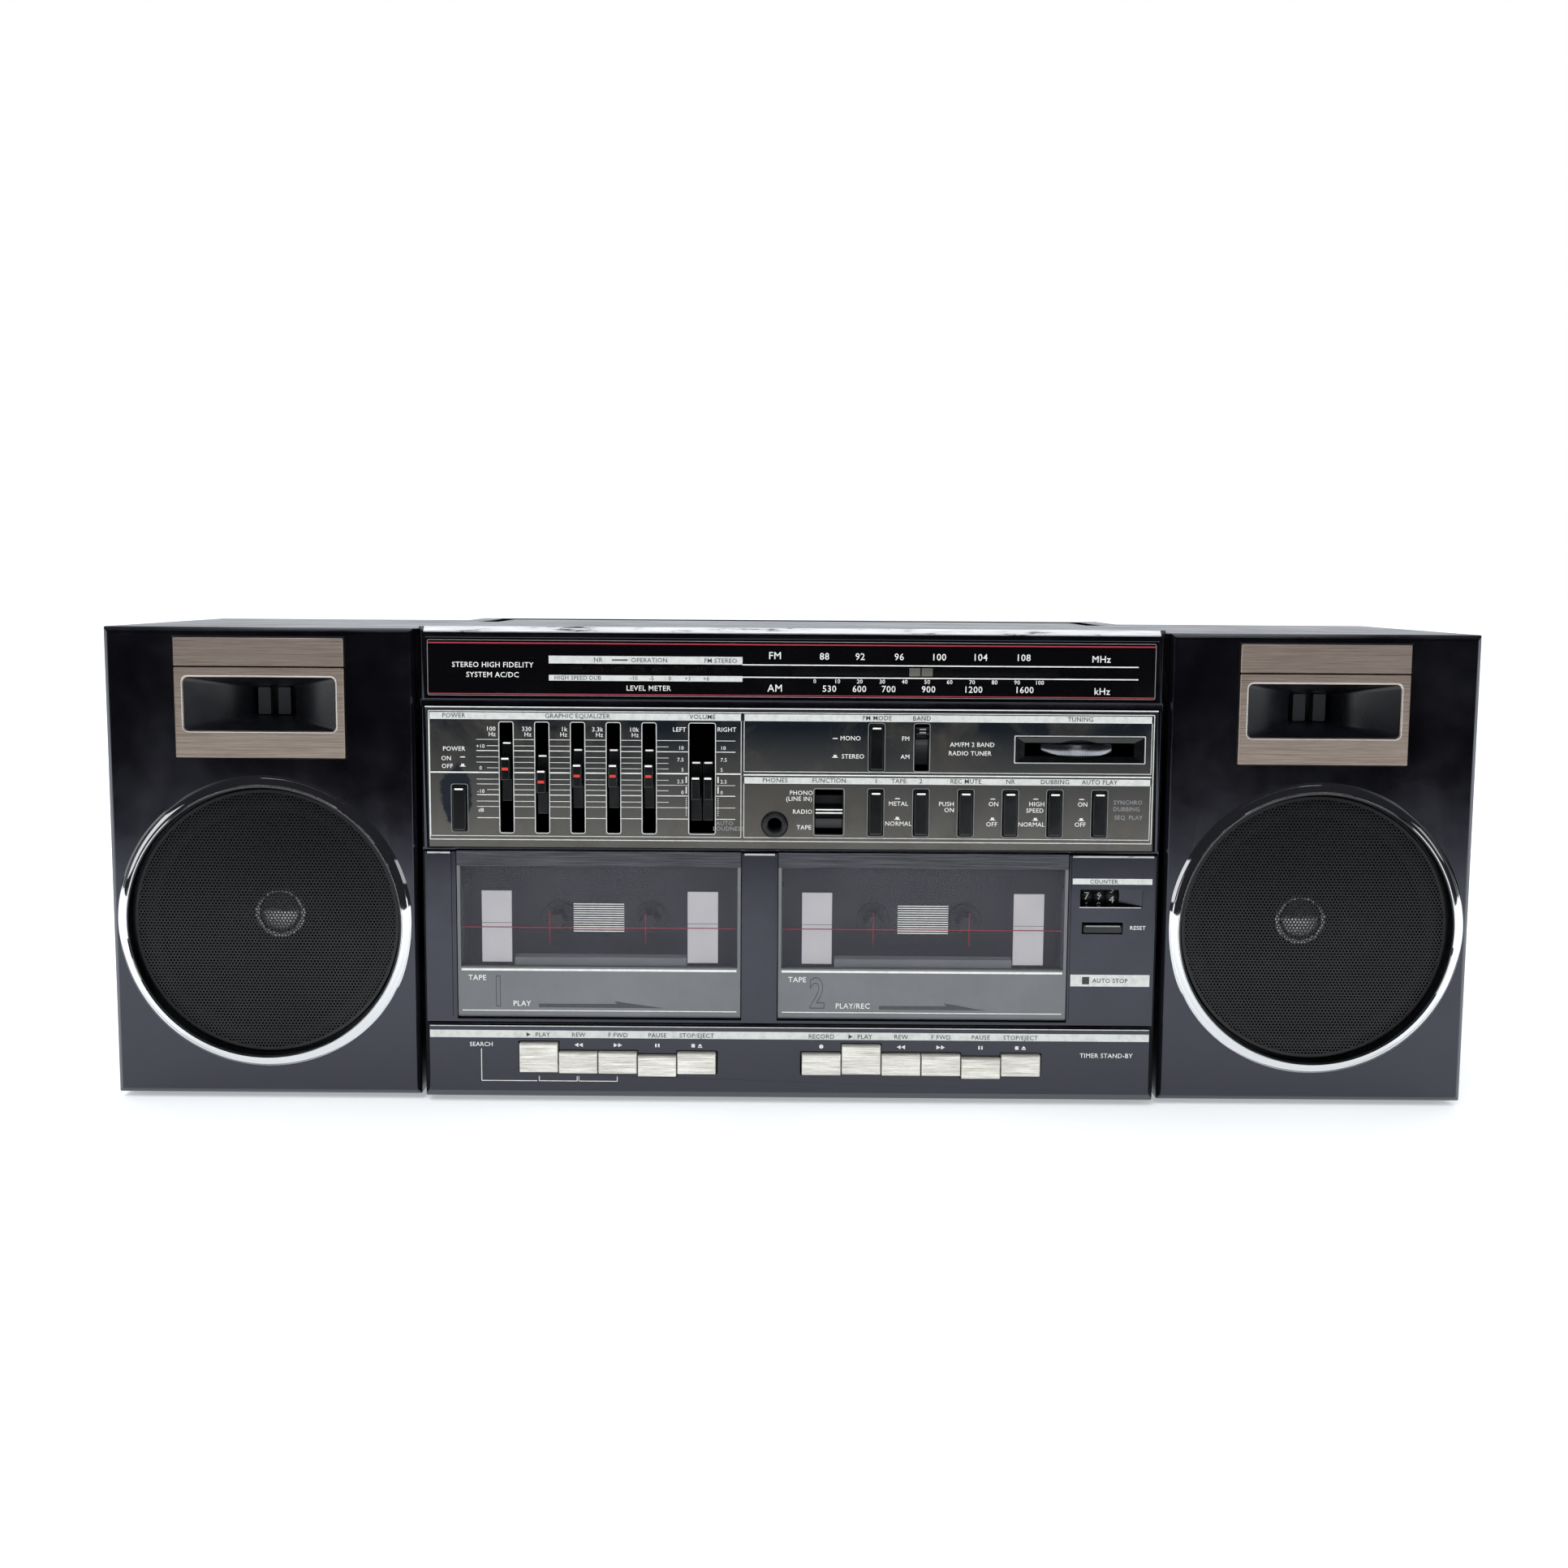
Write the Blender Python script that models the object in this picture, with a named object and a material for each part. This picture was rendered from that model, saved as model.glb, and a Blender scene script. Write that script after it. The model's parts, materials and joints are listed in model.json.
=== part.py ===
"""Boombox: a centre unit with tuner, equaliser and two cassette decks, and two lift-off speakers.

+X is to the right seen from the front, the front faces -Y and +Z is up. Lengths are written in
millimetres and become metres when a mesh is made. The origin is the bottom centre of the whole.
"""

import math

import bmesh
import bpy

MM = 0.001

# ---- overall sizes -----------------------------------------------------------------------
UNIT_WIDTH = 331.2
UNIT_TOP = 216.5
SPEAKER_WIDTH = 138.6
SPEAKER_TOP = 215.4
SPEAKER_GAP = 2.25
TOTAL_DEPTH = 190.0
SPEAKER_SET_BACK = 2.0
SPEAKER_REAR_INSET = 13.0
FOOT_HEIGHT = 3.0

# ---- walls and clearances ----------------------------------------------------------------
WALL = 3.0
FRONT_PLATE = 4.0
FRONT_DEPTH = 30.0
SPLIT_GAP = 0.3
FIT = 0.35
SLIDE_FIT = 0.4
EDGE = 2.2
FOOT_CHAMFER = 3.5

# ---- front levels (how far each face stands behind the foremost point) -------------------
KEY_PROUD = 3.0
KEY_STEP = 2.0
GROOVE = 1.6
LENS_THICK = 2.4
PANEL_THICK = 1.8

# ---- front layout at the design width and height -----------------------------------------
DESIGN_WIDTH = 331.2
DESIGN_TOP = 216.5
LENS_Z = (185.4, 211.2)
PANEL_Z = (117.9, 179.4)
PANEL_X = 162.0
WINDOW_MARGIN = 3.4
DECK_Z = (39.8, 116.1)
DOOR_1_X = (-150.0, -22.3)
DOOR_2_X = (-5.3, 124.9)
STEP_Z = 37.6
UPPER_GROOVE_Z = (181.0, 184.0)
LOWER_GROOVE_Z = (116.9, 117.5)

# ---- controls ----------------------------------------------------------------------------
BUTTON_SIZE = (6.2, 20.4)
BUTTON_PROUD = 2.0
BUTTON_STEM = 14.0
POWER_X = -148.2
POWER_Z = 135.4
FM_MODE_X = 38.0
FM_MODE_Z = 163.8
FUNCTION_ROW_Z = 134.6
FUNCTION_BUTTONS = (
    ("tape_1_type_button", 37.9),
    ("tape_2_type_button", 58.1),
    ("rec_mute_button", 78.1),
    ("noise_reduction_button", 98.0),
    ("dubbing_speed_button", 117.9),
    ("auto_play_button", 137.9),
)
EQ_FIRST_X = -127.1
EQ_PITCH = 15.93
EQ_SLOT = (6.0, 124.5, 174.0)
EQ_RED_LINE_Z = (153.5, 147.8, 150.6, 150.6, 150.6)
KNOB_WIDTH = 4.0
KNOB_ABOVE = 5.3
KNOB_BELOW = 5.2
KNOB_PROUD = 4.2
CARRIER = (5.0, 11.7, 15.0, 1.4)
VOLUME_X = (-42.5, -37.1)
VOLUME_SLOT = (-45.5, -34.0, 124.6, 174.0)
VOLUME_Z = 145.2
BAND_X = 58.15
BAND_SLOT_Z = (153.5, 174.2)
BAND_KNOB = 9.0
BAND_CARRIER = (5.0, 4.5, 13.2, 1.4)
FUNCTION_X = 17.0
FUNCTION_SLOT = (12.6, 124.5, 144.8)
FUNCTION_KNOB = 9.0
FUNCTION_CARRIER = (14.6, 7.4, 7.4, 1.4)
TUNING_X = 128.3
TUNING_Z = 163.45
TUNING_SLOT = (49.2, 6.4)
WHEEL_RADIUS = 18.0
WHEEL_THICK = 5.4
WHEEL_PROUD = 3.1
AXLE_RADIUS = 2.5
POINTER_X = 57.5
POINTER_Z = 197.4
POINTER_SIZE = (10.4, 3.8)
JACK_X = -7.2
JACK_Z = 128.8
JACK_RADIUS = 5.6
JACK_BORE = 3.25
JACK_DEPTH = 22.0

# ---- counter -----------------------------------------------------------------------------
COUNTER_WINDOW = (130.2, 158.3, 92.7, 100.5)
DRUM_X = (131.0, 148.2)
DRUM_RADIUS = 7.4
DRUM_CORE = 4.8
DRUM_BEHIND = 0.1
RESET_X = 140.5
RESET_Z = 82.9
RESET_SIZE = (17.3, 4.3)

# ---- cassette decks ----------------------------------------------------------------------
DOOR_THICK = 3.6
DOOR_WINDOW_Z = (63.2, 109.2)
DOOR_ARM = (2.0, 14.0, 48.0, 100.0)
HUB_SPACING = 42.5
HUB_Z = 81.3
WELL_DEPTH = 27.0
CHASSIS_BACK = 4.0
SPINDLE_RADIUS = 4.6
SPINDLE_BASE = 7.4
SPINDLE_LENGTH = 12.0

# ---- transport keys (name, bottom, top) --------------------------------------------------
KEY_PITCH_1 = 17.84
KEY_PITCH_2 = 18.03
KEYS_1_START = -122.2
KEYS_2_START = 5.5
KEYS_1 = (
    ("play", 15.6, 29.0),
    ("rewind", 15.2, 25.0),
    ("fast_forward", 15.2, 25.0),
    ("pause", 14.0, 23.5),
    ("stop_eject", 15.2, 25.0),
)
KEYS_2 = (("record", 15.2, 25.0),) + KEYS_1
KEY_STEM = (7.0, 5.0, 16.0)
KEY_CAP_DEPTH = 9.0

# ---- top and rear of the centre unit -----------------------------------------------------
HANDLE_HALF = 154.7
HANDLE_ARM = 9.4
HANDLE_REACH = 70.0
HANDLE_THICK = 13.0
GRIP_WIDTH = 14.0
FINGER_ROOM = 12.0
HANDLE_WELL = 18.5
HANDLE_FLUSH = 2.5
PIN_RADIUS = 3.0
PIN_LENGTH = 3.4
REAR_BUMPER = 3.0
BUMPER_IN = 12.0
LEDGE = (9.0, 34.5)
ANTENNA_X = 150.0
ANTENNA_TUBE = (3.2, 206.0)
ANTENNA_ROD = (2.1, 250.0)
ANTENNA_WALL = 0.7
ANTENNA_TIP = 3.0
KNUCKLE_RADIUS = 4.2
BATTERY_DOOR = (-130.0, 30.0, 20.0, 88.0)
INLET = (96.0, 122.0, 28.0, 44.0)

# ---- rail that carries each speaker ------------------------------------------------------
RAIL_Z = (50.0, 160.0)
RAIL_REACH = 4.7
RAIL_HALF = (4.6, 7.2)
RAIL_BOSS = 12.0

# ---- speakers ----------------------------------------------------------------------------
WOOFER_Z = 82.7
RING_SHARE = 0.4812
RING_WALL = 4.8
RING_PROUD = 3.0
RING_SLEEVE = 1.3
GRILLE_THICK = 1.0
GRILLE_DEEP = 2.0
HORN_HALF = 37.8
HORN_Z = (157.2, 210.7)
HORN_MOUTH_X = 33.9
HORN_MOUTH_Z = (169.2, 193.2)
HORN_PLATE = 2.2
HORN_WALL = 1.8
HORN_DEPTH = 30.0
HORN_THROAT = (7.0, 8.5)
MAGNET_RADIUS = 32.0
DRIVER_DEPTH = 52.0

# ---- sizes that follow from the ones above -----------------------------------------------
HALF = UNIT_WIDTH / 2
WIDE = UNIT_WIDTH / DESIGN_WIDTH
TALL = UNIT_TOP / DESIGN_TOP
SPEAKER_TALL = SPEAKER_TOP / 215.4
SPEAKER_WIDE = SPEAKER_WIDTH / 138.6
FOREMOST = -TOTAL_DEPTH / 2
KEY_FACE = FOREMOST + KEY_PROUD
FACE = KEY_FACE + KEY_STEP
INNER_FACE = FACE + FRONT_PLATE
SPLIT = FACE + FRONT_DEPTH
REAR = TOTAL_DEPTH / 2 - REAR_BUMPER
FLOOR = FOOT_HEIGHT
SPEAKER_FACE = FACE + SPEAKER_SET_BACK
SPEAKER_REAR = TOTAL_DEPTH / 2 - SPEAKER_REAR_INSET
SPEAKER_IN = HALF + SPEAKER_GAP
SPEAKER_OUT = SPEAKER_IN + SPEAKER_WIDTH
SPEAKER_MID = (SPEAKER_IN + SPEAKER_OUT) / 2
RING_RADIUS = min(SPEAKER_WIDTH * RING_SHARE, 66.7 * SPEAKER_TALL)
PANEL_BACK = FACE + PANEL_THICK
CARRIER_FRONT = PANEL_BACK + FIT
DOOR_AXIS_Y = FACE + DOOR_THICK / 2
DOOR_AXIS_Z = DECK_Z[0] * TALL + DOOR_THICK / 2
HANDLE_AXIS_Z = UNIT_TOP - HANDLE_FLUSH - HANDLE_THICK / 2
HANDLE_WELL_BACK = REAR - LEDGE[0] - 5.0
HANDLE_AXIS_Y = HANDLE_WELL_BACK - FIT * 3 - HANDLE_REACH
ANTENNA_Y = REAR - LEDGE[0] / 2 + 0.4
ANTENNA_Z = UNIT_TOP - LEDGE[1] + KNUCKLE_RADIUS + FIT
SMALL = 0.01


def across(x):
    """A position along X, moved in proportion when the centre unit is made wider or narrower."""
    return x * WIDE


def up(z):
    """A height on the centre unit, moved in proportion when the unit is made taller or lower."""
    return z * TALL


def speaker_up(z):
    """A height on a speaker, moved in proportion when the speaker is made taller or lower."""
    return z * SPEAKER_TALL


# ---- modelling tools ---------------------------------------------------------------------


def material(name, colour, metallic, roughness):
    """A Principled material of one colour."""
    made = bpy.data.materials.new(name)
    made.use_nodes = True
    shader = made.node_tree.nodes["Principled BSDF"]
    shader.inputs["Base Color"].default_value = (*colour, 1.0)
    shader.inputs["Metallic"].default_value = metallic
    shader.inputs["Roughness"].default_value = roughness
    made.diffuse_color = (*colour, 1.0)
    return made


def prism(axis, outline, start, end):
    """An outline drawn in the plane across the axis, extruded from start to end along it."""
    place = {
        "X": lambda a, b, t: (t, a, b),
        "Y": lambda a, b, t: (a, t, b),
        "Z": lambda a, b, t: (a, b, t),
    }[axis]
    mesh = bmesh.new()
    near = [mesh.verts.new(place(a, b, start)) for a, b in outline]
    far = [mesh.verts.new(place(a, b, end)) for a, b in outline]
    mesh.faces.new(near)
    mesh.faces.new(far)
    for i in range(len(outline)):
        j = (i + 1) % len(outline)
        mesh.faces.new((near[i], near[j], far[j], far[i]))
    bmesh.ops.recalc_face_normals(mesh, faces=mesh.faces)
    return mesh


def box(x, y, z):
    """A box from three pairs of limits."""
    x0, x1 = sorted(x)
    return prism("Z", ((x0, y[0]), (x1, y[0]), (x1, y[1]), (x0, y[1])), z[0], z[1])


def front_chamfered_box(x, y, z, size):
    """A box whose four front edges are chamfered."""
    mesh = box(x, y, z)
    front = [e for e in mesh.edges if all(abs(v.co.y - y[0]) < SMALL for v in e.verts)]
    bmesh.ops.bevel(mesh, geom=front, offset=size, segments=1, affect="EDGES")
    return mesh


def revolve(axis, centre, profile, sides):
    """A closed profile of (radius, position) points turned round a line through the centre."""
    place = {
        "X": lambda c, s, t: (t, centre[0] + c, centre[1] + s),
        "Y": lambda c, s, t: (centre[0] + c, t, centre[1] + s),
        "Z": lambda c, s, t: (centre[0] + c, centre[1] + s, t),
    }[axis]
    mesh = bmesh.new()
    rings = []
    for radius, t in profile:
        count = 1 if radius < SMALL else sides
        turns = [2 * math.pi * (k + 0.5) / sides for k in range(count)]
        points = [place(radius * math.cos(a), radius * math.sin(a), t) for a in turns]
        rings.append([mesh.verts.new(point) for point in points])
    for i, ring in enumerate(rings):
        following = rings[(i + 1) % len(rings)]
        if len(ring) == 1 and len(following) == 1:
            continue
        for k in range(sides):
            corners = [ring[k % len(ring)], ring[(k + 1) % len(ring)]]
            corners += [following[(k + 1) % len(following)], following[k % len(following)]]
            mesh.faces.new(list(dict.fromkeys(corners)))
    bmesh.ops.recalc_face_normals(mesh, faces=mesh.faces)
    return mesh


def rod(axis, centre, radius, start, end, sides=24):
    """A plain cylinder."""
    return revolve(axis, centre, ((0, start), (radius, start), (radius, end), (0, end)), sides)


def arc(centre, radius, start, end, steps):
    """Points along an arc in the plane of an outline, between two angles in degrees."""
    turns = [math.radians(start + (end - start) * k / steps) for k in range(steps + 1)]
    return [(centre[0] + radius * math.cos(a), centre[1] + radius * math.sin(a)) for a in turns]


def frustum(near, near_y, far, far_y):
    """A box that narrows along Y, from limits (x0, x1, z0, z1) at near_y to those at far_y."""
    mesh = bmesh.new()
    rings = []
    for (x0, x1, z0, z1), y in ((near, near_y), (far, far_y)):
        corners = ((x0, y, z0), (x1, y, z0), (x1, y, z1), (x0, y, z1))
        rings.append([mesh.verts.new(point) for point in corners])
    mesh.faces.new(rings[0])
    mesh.faces.new(rings[1])
    for i in range(4):
        j = (i + 1) % 4
        mesh.faces.new((rings[0][i], rings[0][j], rings[1][j], rings[1][i]))
    bmesh.ops.recalc_face_normals(mesh, faces=mesh.faces)
    return mesh


def placed(name, mesh, origin):
    """An object that holds the mesh, with its origin at the point given in millimetres."""
    for vertex in mesh.verts:
        vertex.co = [(c - o) * MM for c, o in zip(vertex.co, origin)]
    data = bpy.data.meshes.new(name)
    mesh.to_mesh(data)
    mesh.free()
    made = bpy.data.objects.new(name, data)
    made.location = [c * MM for c in origin]
    bpy.context.scene.collection.objects.link(made)
    return made


def part(name, mesh, finish, origin=(0, 0, 0), smooth=False):
    """One sub-part of the boombox."""
    made = placed(name, mesh, origin)
    made.data.materials.append(finish)
    made.data.polygons.foreach_set("use_smooth", [smooth] * len(made.data.polygons))
    if smooth:
        made.data.set_sharp_from_angle(angle=math.radians(35))
    return made


def combine(target, operation, mesh):
    """Takes a shape away from a sub-part, or adds one to it."""
    tool = placed(f"{target.name}_tool_{len(target.modifiers)}", mesh, (0, 0, 0))
    tool.hide_render = True
    tool.display_type = "WIRE"
    boolean = target.modifiers.new(operation.lower(), "BOOLEAN")
    boolean.operation = operation
    boolean.solver = "EXACT"
    boolean.object = tool


def cut(target, *meshes):
    """Takes each shape away from a sub-part."""
    for mesh in meshes:
        combine(target, "DIFFERENCE", mesh)


def add(target, *meshes):
    """Joins each shape to a sub-part."""
    for mesh in meshes:
        combine(target, "UNION", mesh)


for old in list(bpy.data.objects):
    bpy.data.objects.remove(old, do_unlink=True)

BLACK = material("black_abs", (0.012, 0.013, 0.016), 0.0, 0.38)
LENS = material("dial_acrylic", (0.006, 0.006, 0.008), 0.0, 0.08)
PANEL = material("panel_aluminium", (0.055, 0.062, 0.068), 0.6, 0.42)
DECK = material("deck_plastic", (0.02, 0.02, 0.022), 0.0, 0.5)
BUTTON = material("button_plastic", (0.015, 0.016, 0.018), 0.0, 0.3)
KNOB = material("knob_plastic", (0.02, 0.02, 0.022), 0.0, 0.35)
KEY = material("key_aluminium", (0.75, 0.73, 0.68), 0.9, 0.35)
DOOR = material("door_smoked", (0.1, 0.1, 0.11), 0.0, 0.15)
CHROME = material("chrome", (0.8, 0.8, 0.8), 1.0, 0.1)
BRONZE = material("horn_plate_metal", (0.36, 0.31, 0.26), 0.9, 0.35)
MESH = material("grille_steel", (0.03, 0.03, 0.033), 0.3, 0.5)
CONE = material("woofer_paper", (0.03, 0.03, 0.032), 0.0, 0.8)
WHITE = material("drum_plastic", (0.02, 0.02, 0.022), 0.0, 0.5)


# ---- shared sizes of the openings --------------------------------------------------------


def grown(x, z, by):
    """An opening's limits in X and Z, larger by the clearance on every side."""
    return (x[0] - by, x[1] + by), (z[0] - by, z[1] + by)


def key_limits(start, pitch, keys):
    """For each key of a deck: its name and its limits in X and Z."""
    limits = []
    for i, (name, bottom, top) in enumerate(keys):
        left = across(start + i * pitch)
        right = across(start + (i + 1) * pitch)
        limits.append((name, (left, right), (up(bottom), up(top))))
    return limits


def stepped_outline(limits):
    """The outline, in X and Z, of the one opening that a row of keys shares."""
    rise = []
    fall = []
    for i, (_, x, z) in enumerate(limits):
        left = x[0] - (FIT if i == 0 else 0)
        right = x[1] + (FIT if i == len(limits) - 1 else 0)
        rise += [(left, z[1] + FIT), (right, z[1] + FIT)]
        fall += [(left, z[0] - FIT), (right, z[0] - FIT)]
    return list(dict.fromkeys(rise + fall[::-1]))


def button_hole(x, z, size):
    """The limits in X and Z of a push button's hole."""
    width, height = size
    sides = (across(x) - width / 2, across(x) + width / 2)
    ends = (up(z) - height / 2, up(z) + height / 2)
    return grown(sides, ends, FIT)


DECK_OPENINGS = [
    grown((across(left), across(right)), (up(DECK_Z[0]), up(DECK_Z[1])), FIT)
    for left, right in (DOOR_1_X, DOOR_2_X)
]
KEY_ROWS = [
    key_limits(KEYS_1_START, KEY_PITCH_1, KEYS_1),
    key_limits(KEYS_2_START, KEY_PITCH_2, KEYS_2),
]


# ---- front moulding of the centre unit ---------------------------------------------------
outline = [
    (SPLIT, FLOOR),
    (KEY_FACE + FOOT_CHAMFER, FLOOR),
    (KEY_FACE, FLOOR + FOOT_CHAMFER),
    (KEY_FACE, up(STEP_Z) - KEY_STEP / 2),
    (KEY_FACE + KEY_STEP / 2, up(STEP_Z)),
    (FACE, up(STEP_Z)),
    (FACE, up(LOWER_GROOVE_Z[0]) - GROOVE / 2),
    (FACE + GROOVE, up(LOWER_GROOVE_Z[0]) - GROOVE / 2),
    (FACE + GROOVE, up(LOWER_GROOVE_Z[1])),
    (FACE, up(LOWER_GROOVE_Z[1])),
    (FACE, up(UPPER_GROOVE_Z[0])),
    (FACE + GROOVE, up(UPPER_GROOVE_Z[0])),
    (FACE + GROOVE, up(UPPER_GROOVE_Z[1])),
    (FACE, up(UPPER_GROOVE_Z[1])),
    (FACE, UNIT_TOP - EDGE),
    (FACE + EDGE, UNIT_TOP),
    (SPLIT, UNIT_TOP),
]
front = part("front_frame", prism("X", outline, -HALF, HALF), BLACK)
for side in (-1, 1):
    corner = (
        (side * (HALF + SMALL), KEY_FACE - EDGE),
        (side * (HALF + SMALL), FACE + EDGE),
        (side * (HALF - EDGE - KEY_STEP), KEY_FACE - EDGE),
    )
    cut(front, prism("Z", corner, FLOOR - 1, UNIT_TOP + 1))
inside = HALF - WALL
cut(front, box((-inside, inside), (INNER_FACE, SPLIT + 1), (FLOOR + WALL, UNIT_TOP - WALL)))
panel_x = across(PANEL_X)
lens_seat = grown((-panel_x, panel_x), (up(LENS_Z[0]), up(LENS_Z[1])), FIT / 2)
panel_seat = grown((-panel_x, panel_x), (up(PANEL_Z[0]), up(PANEL_Z[1])), FIT / 2)
for seat, depth in ((lens_seat, LENS_THICK + FIT), (panel_seat, PANEL_THICK + FIT / 2)):
    cut(front, box(seat[0], (FACE - 1, FACE + depth), seat[1]))
    window = grown(seat[0], seat[1], -WINDOW_MARGIN)
    cut(front, box(window[0], (FACE - 1, INNER_FACE + 1), window[1]))
for x, z in DECK_OPENINGS:
    cut(front, box(x, (FACE - 1, INNER_FACE + 1), z))
for row in KEY_ROWS:
    cut(front, prism("Y", stepped_outline(row), KEY_FACE - 1, INNER_FACE + 1))
counter_x = (across(COUNTER_WINDOW[0]), across(COUNTER_WINDOW[1]))
counter_z = (up(COUNTER_WINDOW[2]), up(COUNTER_WINDOW[3]))
cut(front, box(counter_x, (FACE - 1, INNER_FACE + 1), counter_z))
reset_hole = button_hole(RESET_X, RESET_Z, RESET_SIZE)
cut(front, box(reset_hole[0], (FACE - 1, INNER_FACE + 1), reset_hole[1]))

# ---- dial lens and its pointer -----------------------------------------------------------
lens_z = (up(LENS_Z[0]), up(LENS_Z[1]))
part("dial_lens", box((-panel_x, panel_x), (FACE, FACE + LENS_THICK), lens_z), LENS)
pointer_at = (across(POINTER_X), FACE + LENS_THICK + 1.2, up(POINTER_Z))
pointer = part(
    "dial_pointer",
    box(
        (pointer_at[0] - POINTER_SIZE[0] / 2, pointer_at[0] + POINTER_SIZE[0] / 2),
        (pointer_at[1] - 0.6, pointer_at[1] + 0.6),
        (pointer_at[2] - POINTER_SIZE[1] / 2, pointer_at[2] + POINTER_SIZE[1] / 2),
    ),
    CHROME,
    pointer_at,
)
add(
    pointer,
    box(
        (pointer_at[0] - 1.5, pointer_at[0] + 1.5),
        (pointer_at[1], INNER_FACE + 6),
        (pointer_at[2] - 1.2, pointer_at[2] + 1.2),
    ),
)

# ---- control panel -----------------------------------------------------------------------
panel_z = (up(PANEL_Z[0]), up(PANEL_Z[1]))
panel = part("control_panel", box((-panel_x, panel_x), (FACE, PANEL_BACK), panel_z), PANEL)


def pierce(x, z):
    """Cuts a rectangular hole through the control panel."""
    cut(panel, box(x, (FACE - 1, PANEL_BACK + 1), z))


BUTTONS = [("power_button", POWER_X, POWER_Z), ("fm_mode_button", FM_MODE_X, FM_MODE_Z)]
BUTTONS += [(name, x, FUNCTION_ROW_Z) for name, x in FUNCTION_BUTTONS]
for _, x, z in BUTTONS:
    pierce(*button_hole(x, z, BUTTON_SIZE))
for i in range(5):
    slot_x = across(EQ_FIRST_X + i * EQ_PITCH)
    pierce((slot_x - EQ_SLOT[0] / 2, slot_x + EQ_SLOT[0] / 2), (up(EQ_SLOT[1]), up(EQ_SLOT[2])))
volume_mid = across((VOLUME_SLOT[0] + VOLUME_SLOT[1]) / 2)
volume_half = (VOLUME_SLOT[1] - VOLUME_SLOT[0]) / 2
pierce((volume_mid - volume_half, volume_mid + volume_half), (up(VOLUME_SLOT[2]), up(VOLUME_SLOT[3])))
band_x = across(BAND_X)
pierce(
    (band_x - BUTTON_SIZE[0] / 2, band_x + BUTTON_SIZE[0] / 2),
    (up(BAND_SLOT_Z[0]), up(BAND_SLOT_Z[1])),
)
function_x = across(FUNCTION_X)
pierce(
    (function_x - FUNCTION_SLOT[0] / 2, function_x + FUNCTION_SLOT[0] / 2),
    (up(FUNCTION_SLOT[1]), up(FUNCTION_SLOT[2])),
)
tuning_x = across(TUNING_X)
tuning_z = up(TUNING_Z)
pierce(
    (tuning_x - TUNING_SLOT[0] / 2, tuning_x + TUNING_SLOT[0] / 2),
    (tuning_z - TUNING_SLOT[1] / 2, tuning_z + TUNING_SLOT[1] / 2),
)
jack_centre = (across(JACK_X), up(JACK_Z))
cut(panel, rod("Y", jack_centre, JACK_RADIUS + FIT, FACE - 1, PANEL_BACK + 1, 32))

# ---- push buttons: a cap in the panel's hole, a flange behind it and a stem --------------


def push_button(name, x, z, size, proud, back):
    """A push button whose flange behind the panel keeps it from falling out."""
    cx = across(x)
    cz = up(z)
    width, height = size
    sides = (cx - width / 2, cx + width / 2)
    ends = (cz - height / 2, cz + height / 2)
    cap = front_chamfered_box(sides, (FACE - proud, back + 1.5), ends, 0.5)
    made = part(name, cap, BUTTON, (cx, FACE, cz))
    stem_end = back + BUTTON_STEM
    stem_z = (cz - height / 5, cz + height / 5)
    add(made, box((cx - width / 3, cx + width / 3), (back, stem_end), stem_z))


for name, x, z in BUTTONS:
    push_button(name, x, z, BUTTON_SIZE, BUTTON_PROUD, PANEL_BACK + 3.2)
push_button("counter_reset_button", RESET_X, RESET_Z, RESET_SIZE, BUTTON_PROUD, INNER_FACE + 1.0)

# ---- sliders: a knob through a slot and a carrier that moves behind the panel ------------


def slider(name, x, line_z, knob_width, above, below, carrier):
    """A sliding control: its knob stands out of the slot, and its carrier closes the slot behind."""
    width, carrier_above, carrier_below, thick = carrier
    knob = front_chamfered_box(
        (x - knob_width / 2, x + knob_width / 2),
        (FACE - KNOB_PROUD, CARRIER_FRONT + thick / 2),
        (line_z - below, line_z + above),
        0.4,
    )
    made = part(name, knob, KNOB, (x, FACE, line_z))
    add(
        made,
        box(
            (x - width / 2, x + width / 2),
            (CARRIER_FRONT, CARRIER_FRONT + thick),
            (line_z - carrier_below, line_z + carrier_above),
        ),
    )


for i, line_z in enumerate(EQ_RED_LINE_Z):
    slot_x = across(EQ_FIRST_X + i * EQ_PITCH)
    slider(f"eq_slider_{i + 1}", slot_x, up(line_z), KNOB_WIDTH, KNOB_ABOVE, KNOB_BELOW, CARRIER)
for name, side in (("volume_slider_left", -1), ("volume_slider_right", 1)):
    volume_x = volume_mid + side * (VOLUME_X[1] - VOLUME_X[0]) / 2
    slider(name, volume_x, up(VOLUME_Z), KNOB_WIDTH, KNOB_ABOVE, KNOB_BELOW, CARRIER)
band_z = up(BAND_SLOT_Z[1]) - FIT - BAND_KNOB / 2
band_width = BUTTON_SIZE[0] - 2 * FIT
slider("band_switch", band_x, band_z, band_width, BAND_KNOB / 2, BAND_KNOB / 2, BAND_CARRIER)
function_z = (up(FUNCTION_SLOT[1]) + up(FUNCTION_SLOT[2])) / 2
slider(
    "function_switch",
    function_x,
    function_z,
    FUNCTION_SLOT[0] - 2 * SLIDE_FIT,
    FUNCTION_KNOB / 2,
    FUNCTION_KNOB / 2,
    FUNCTION_CARRIER,
)

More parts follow.
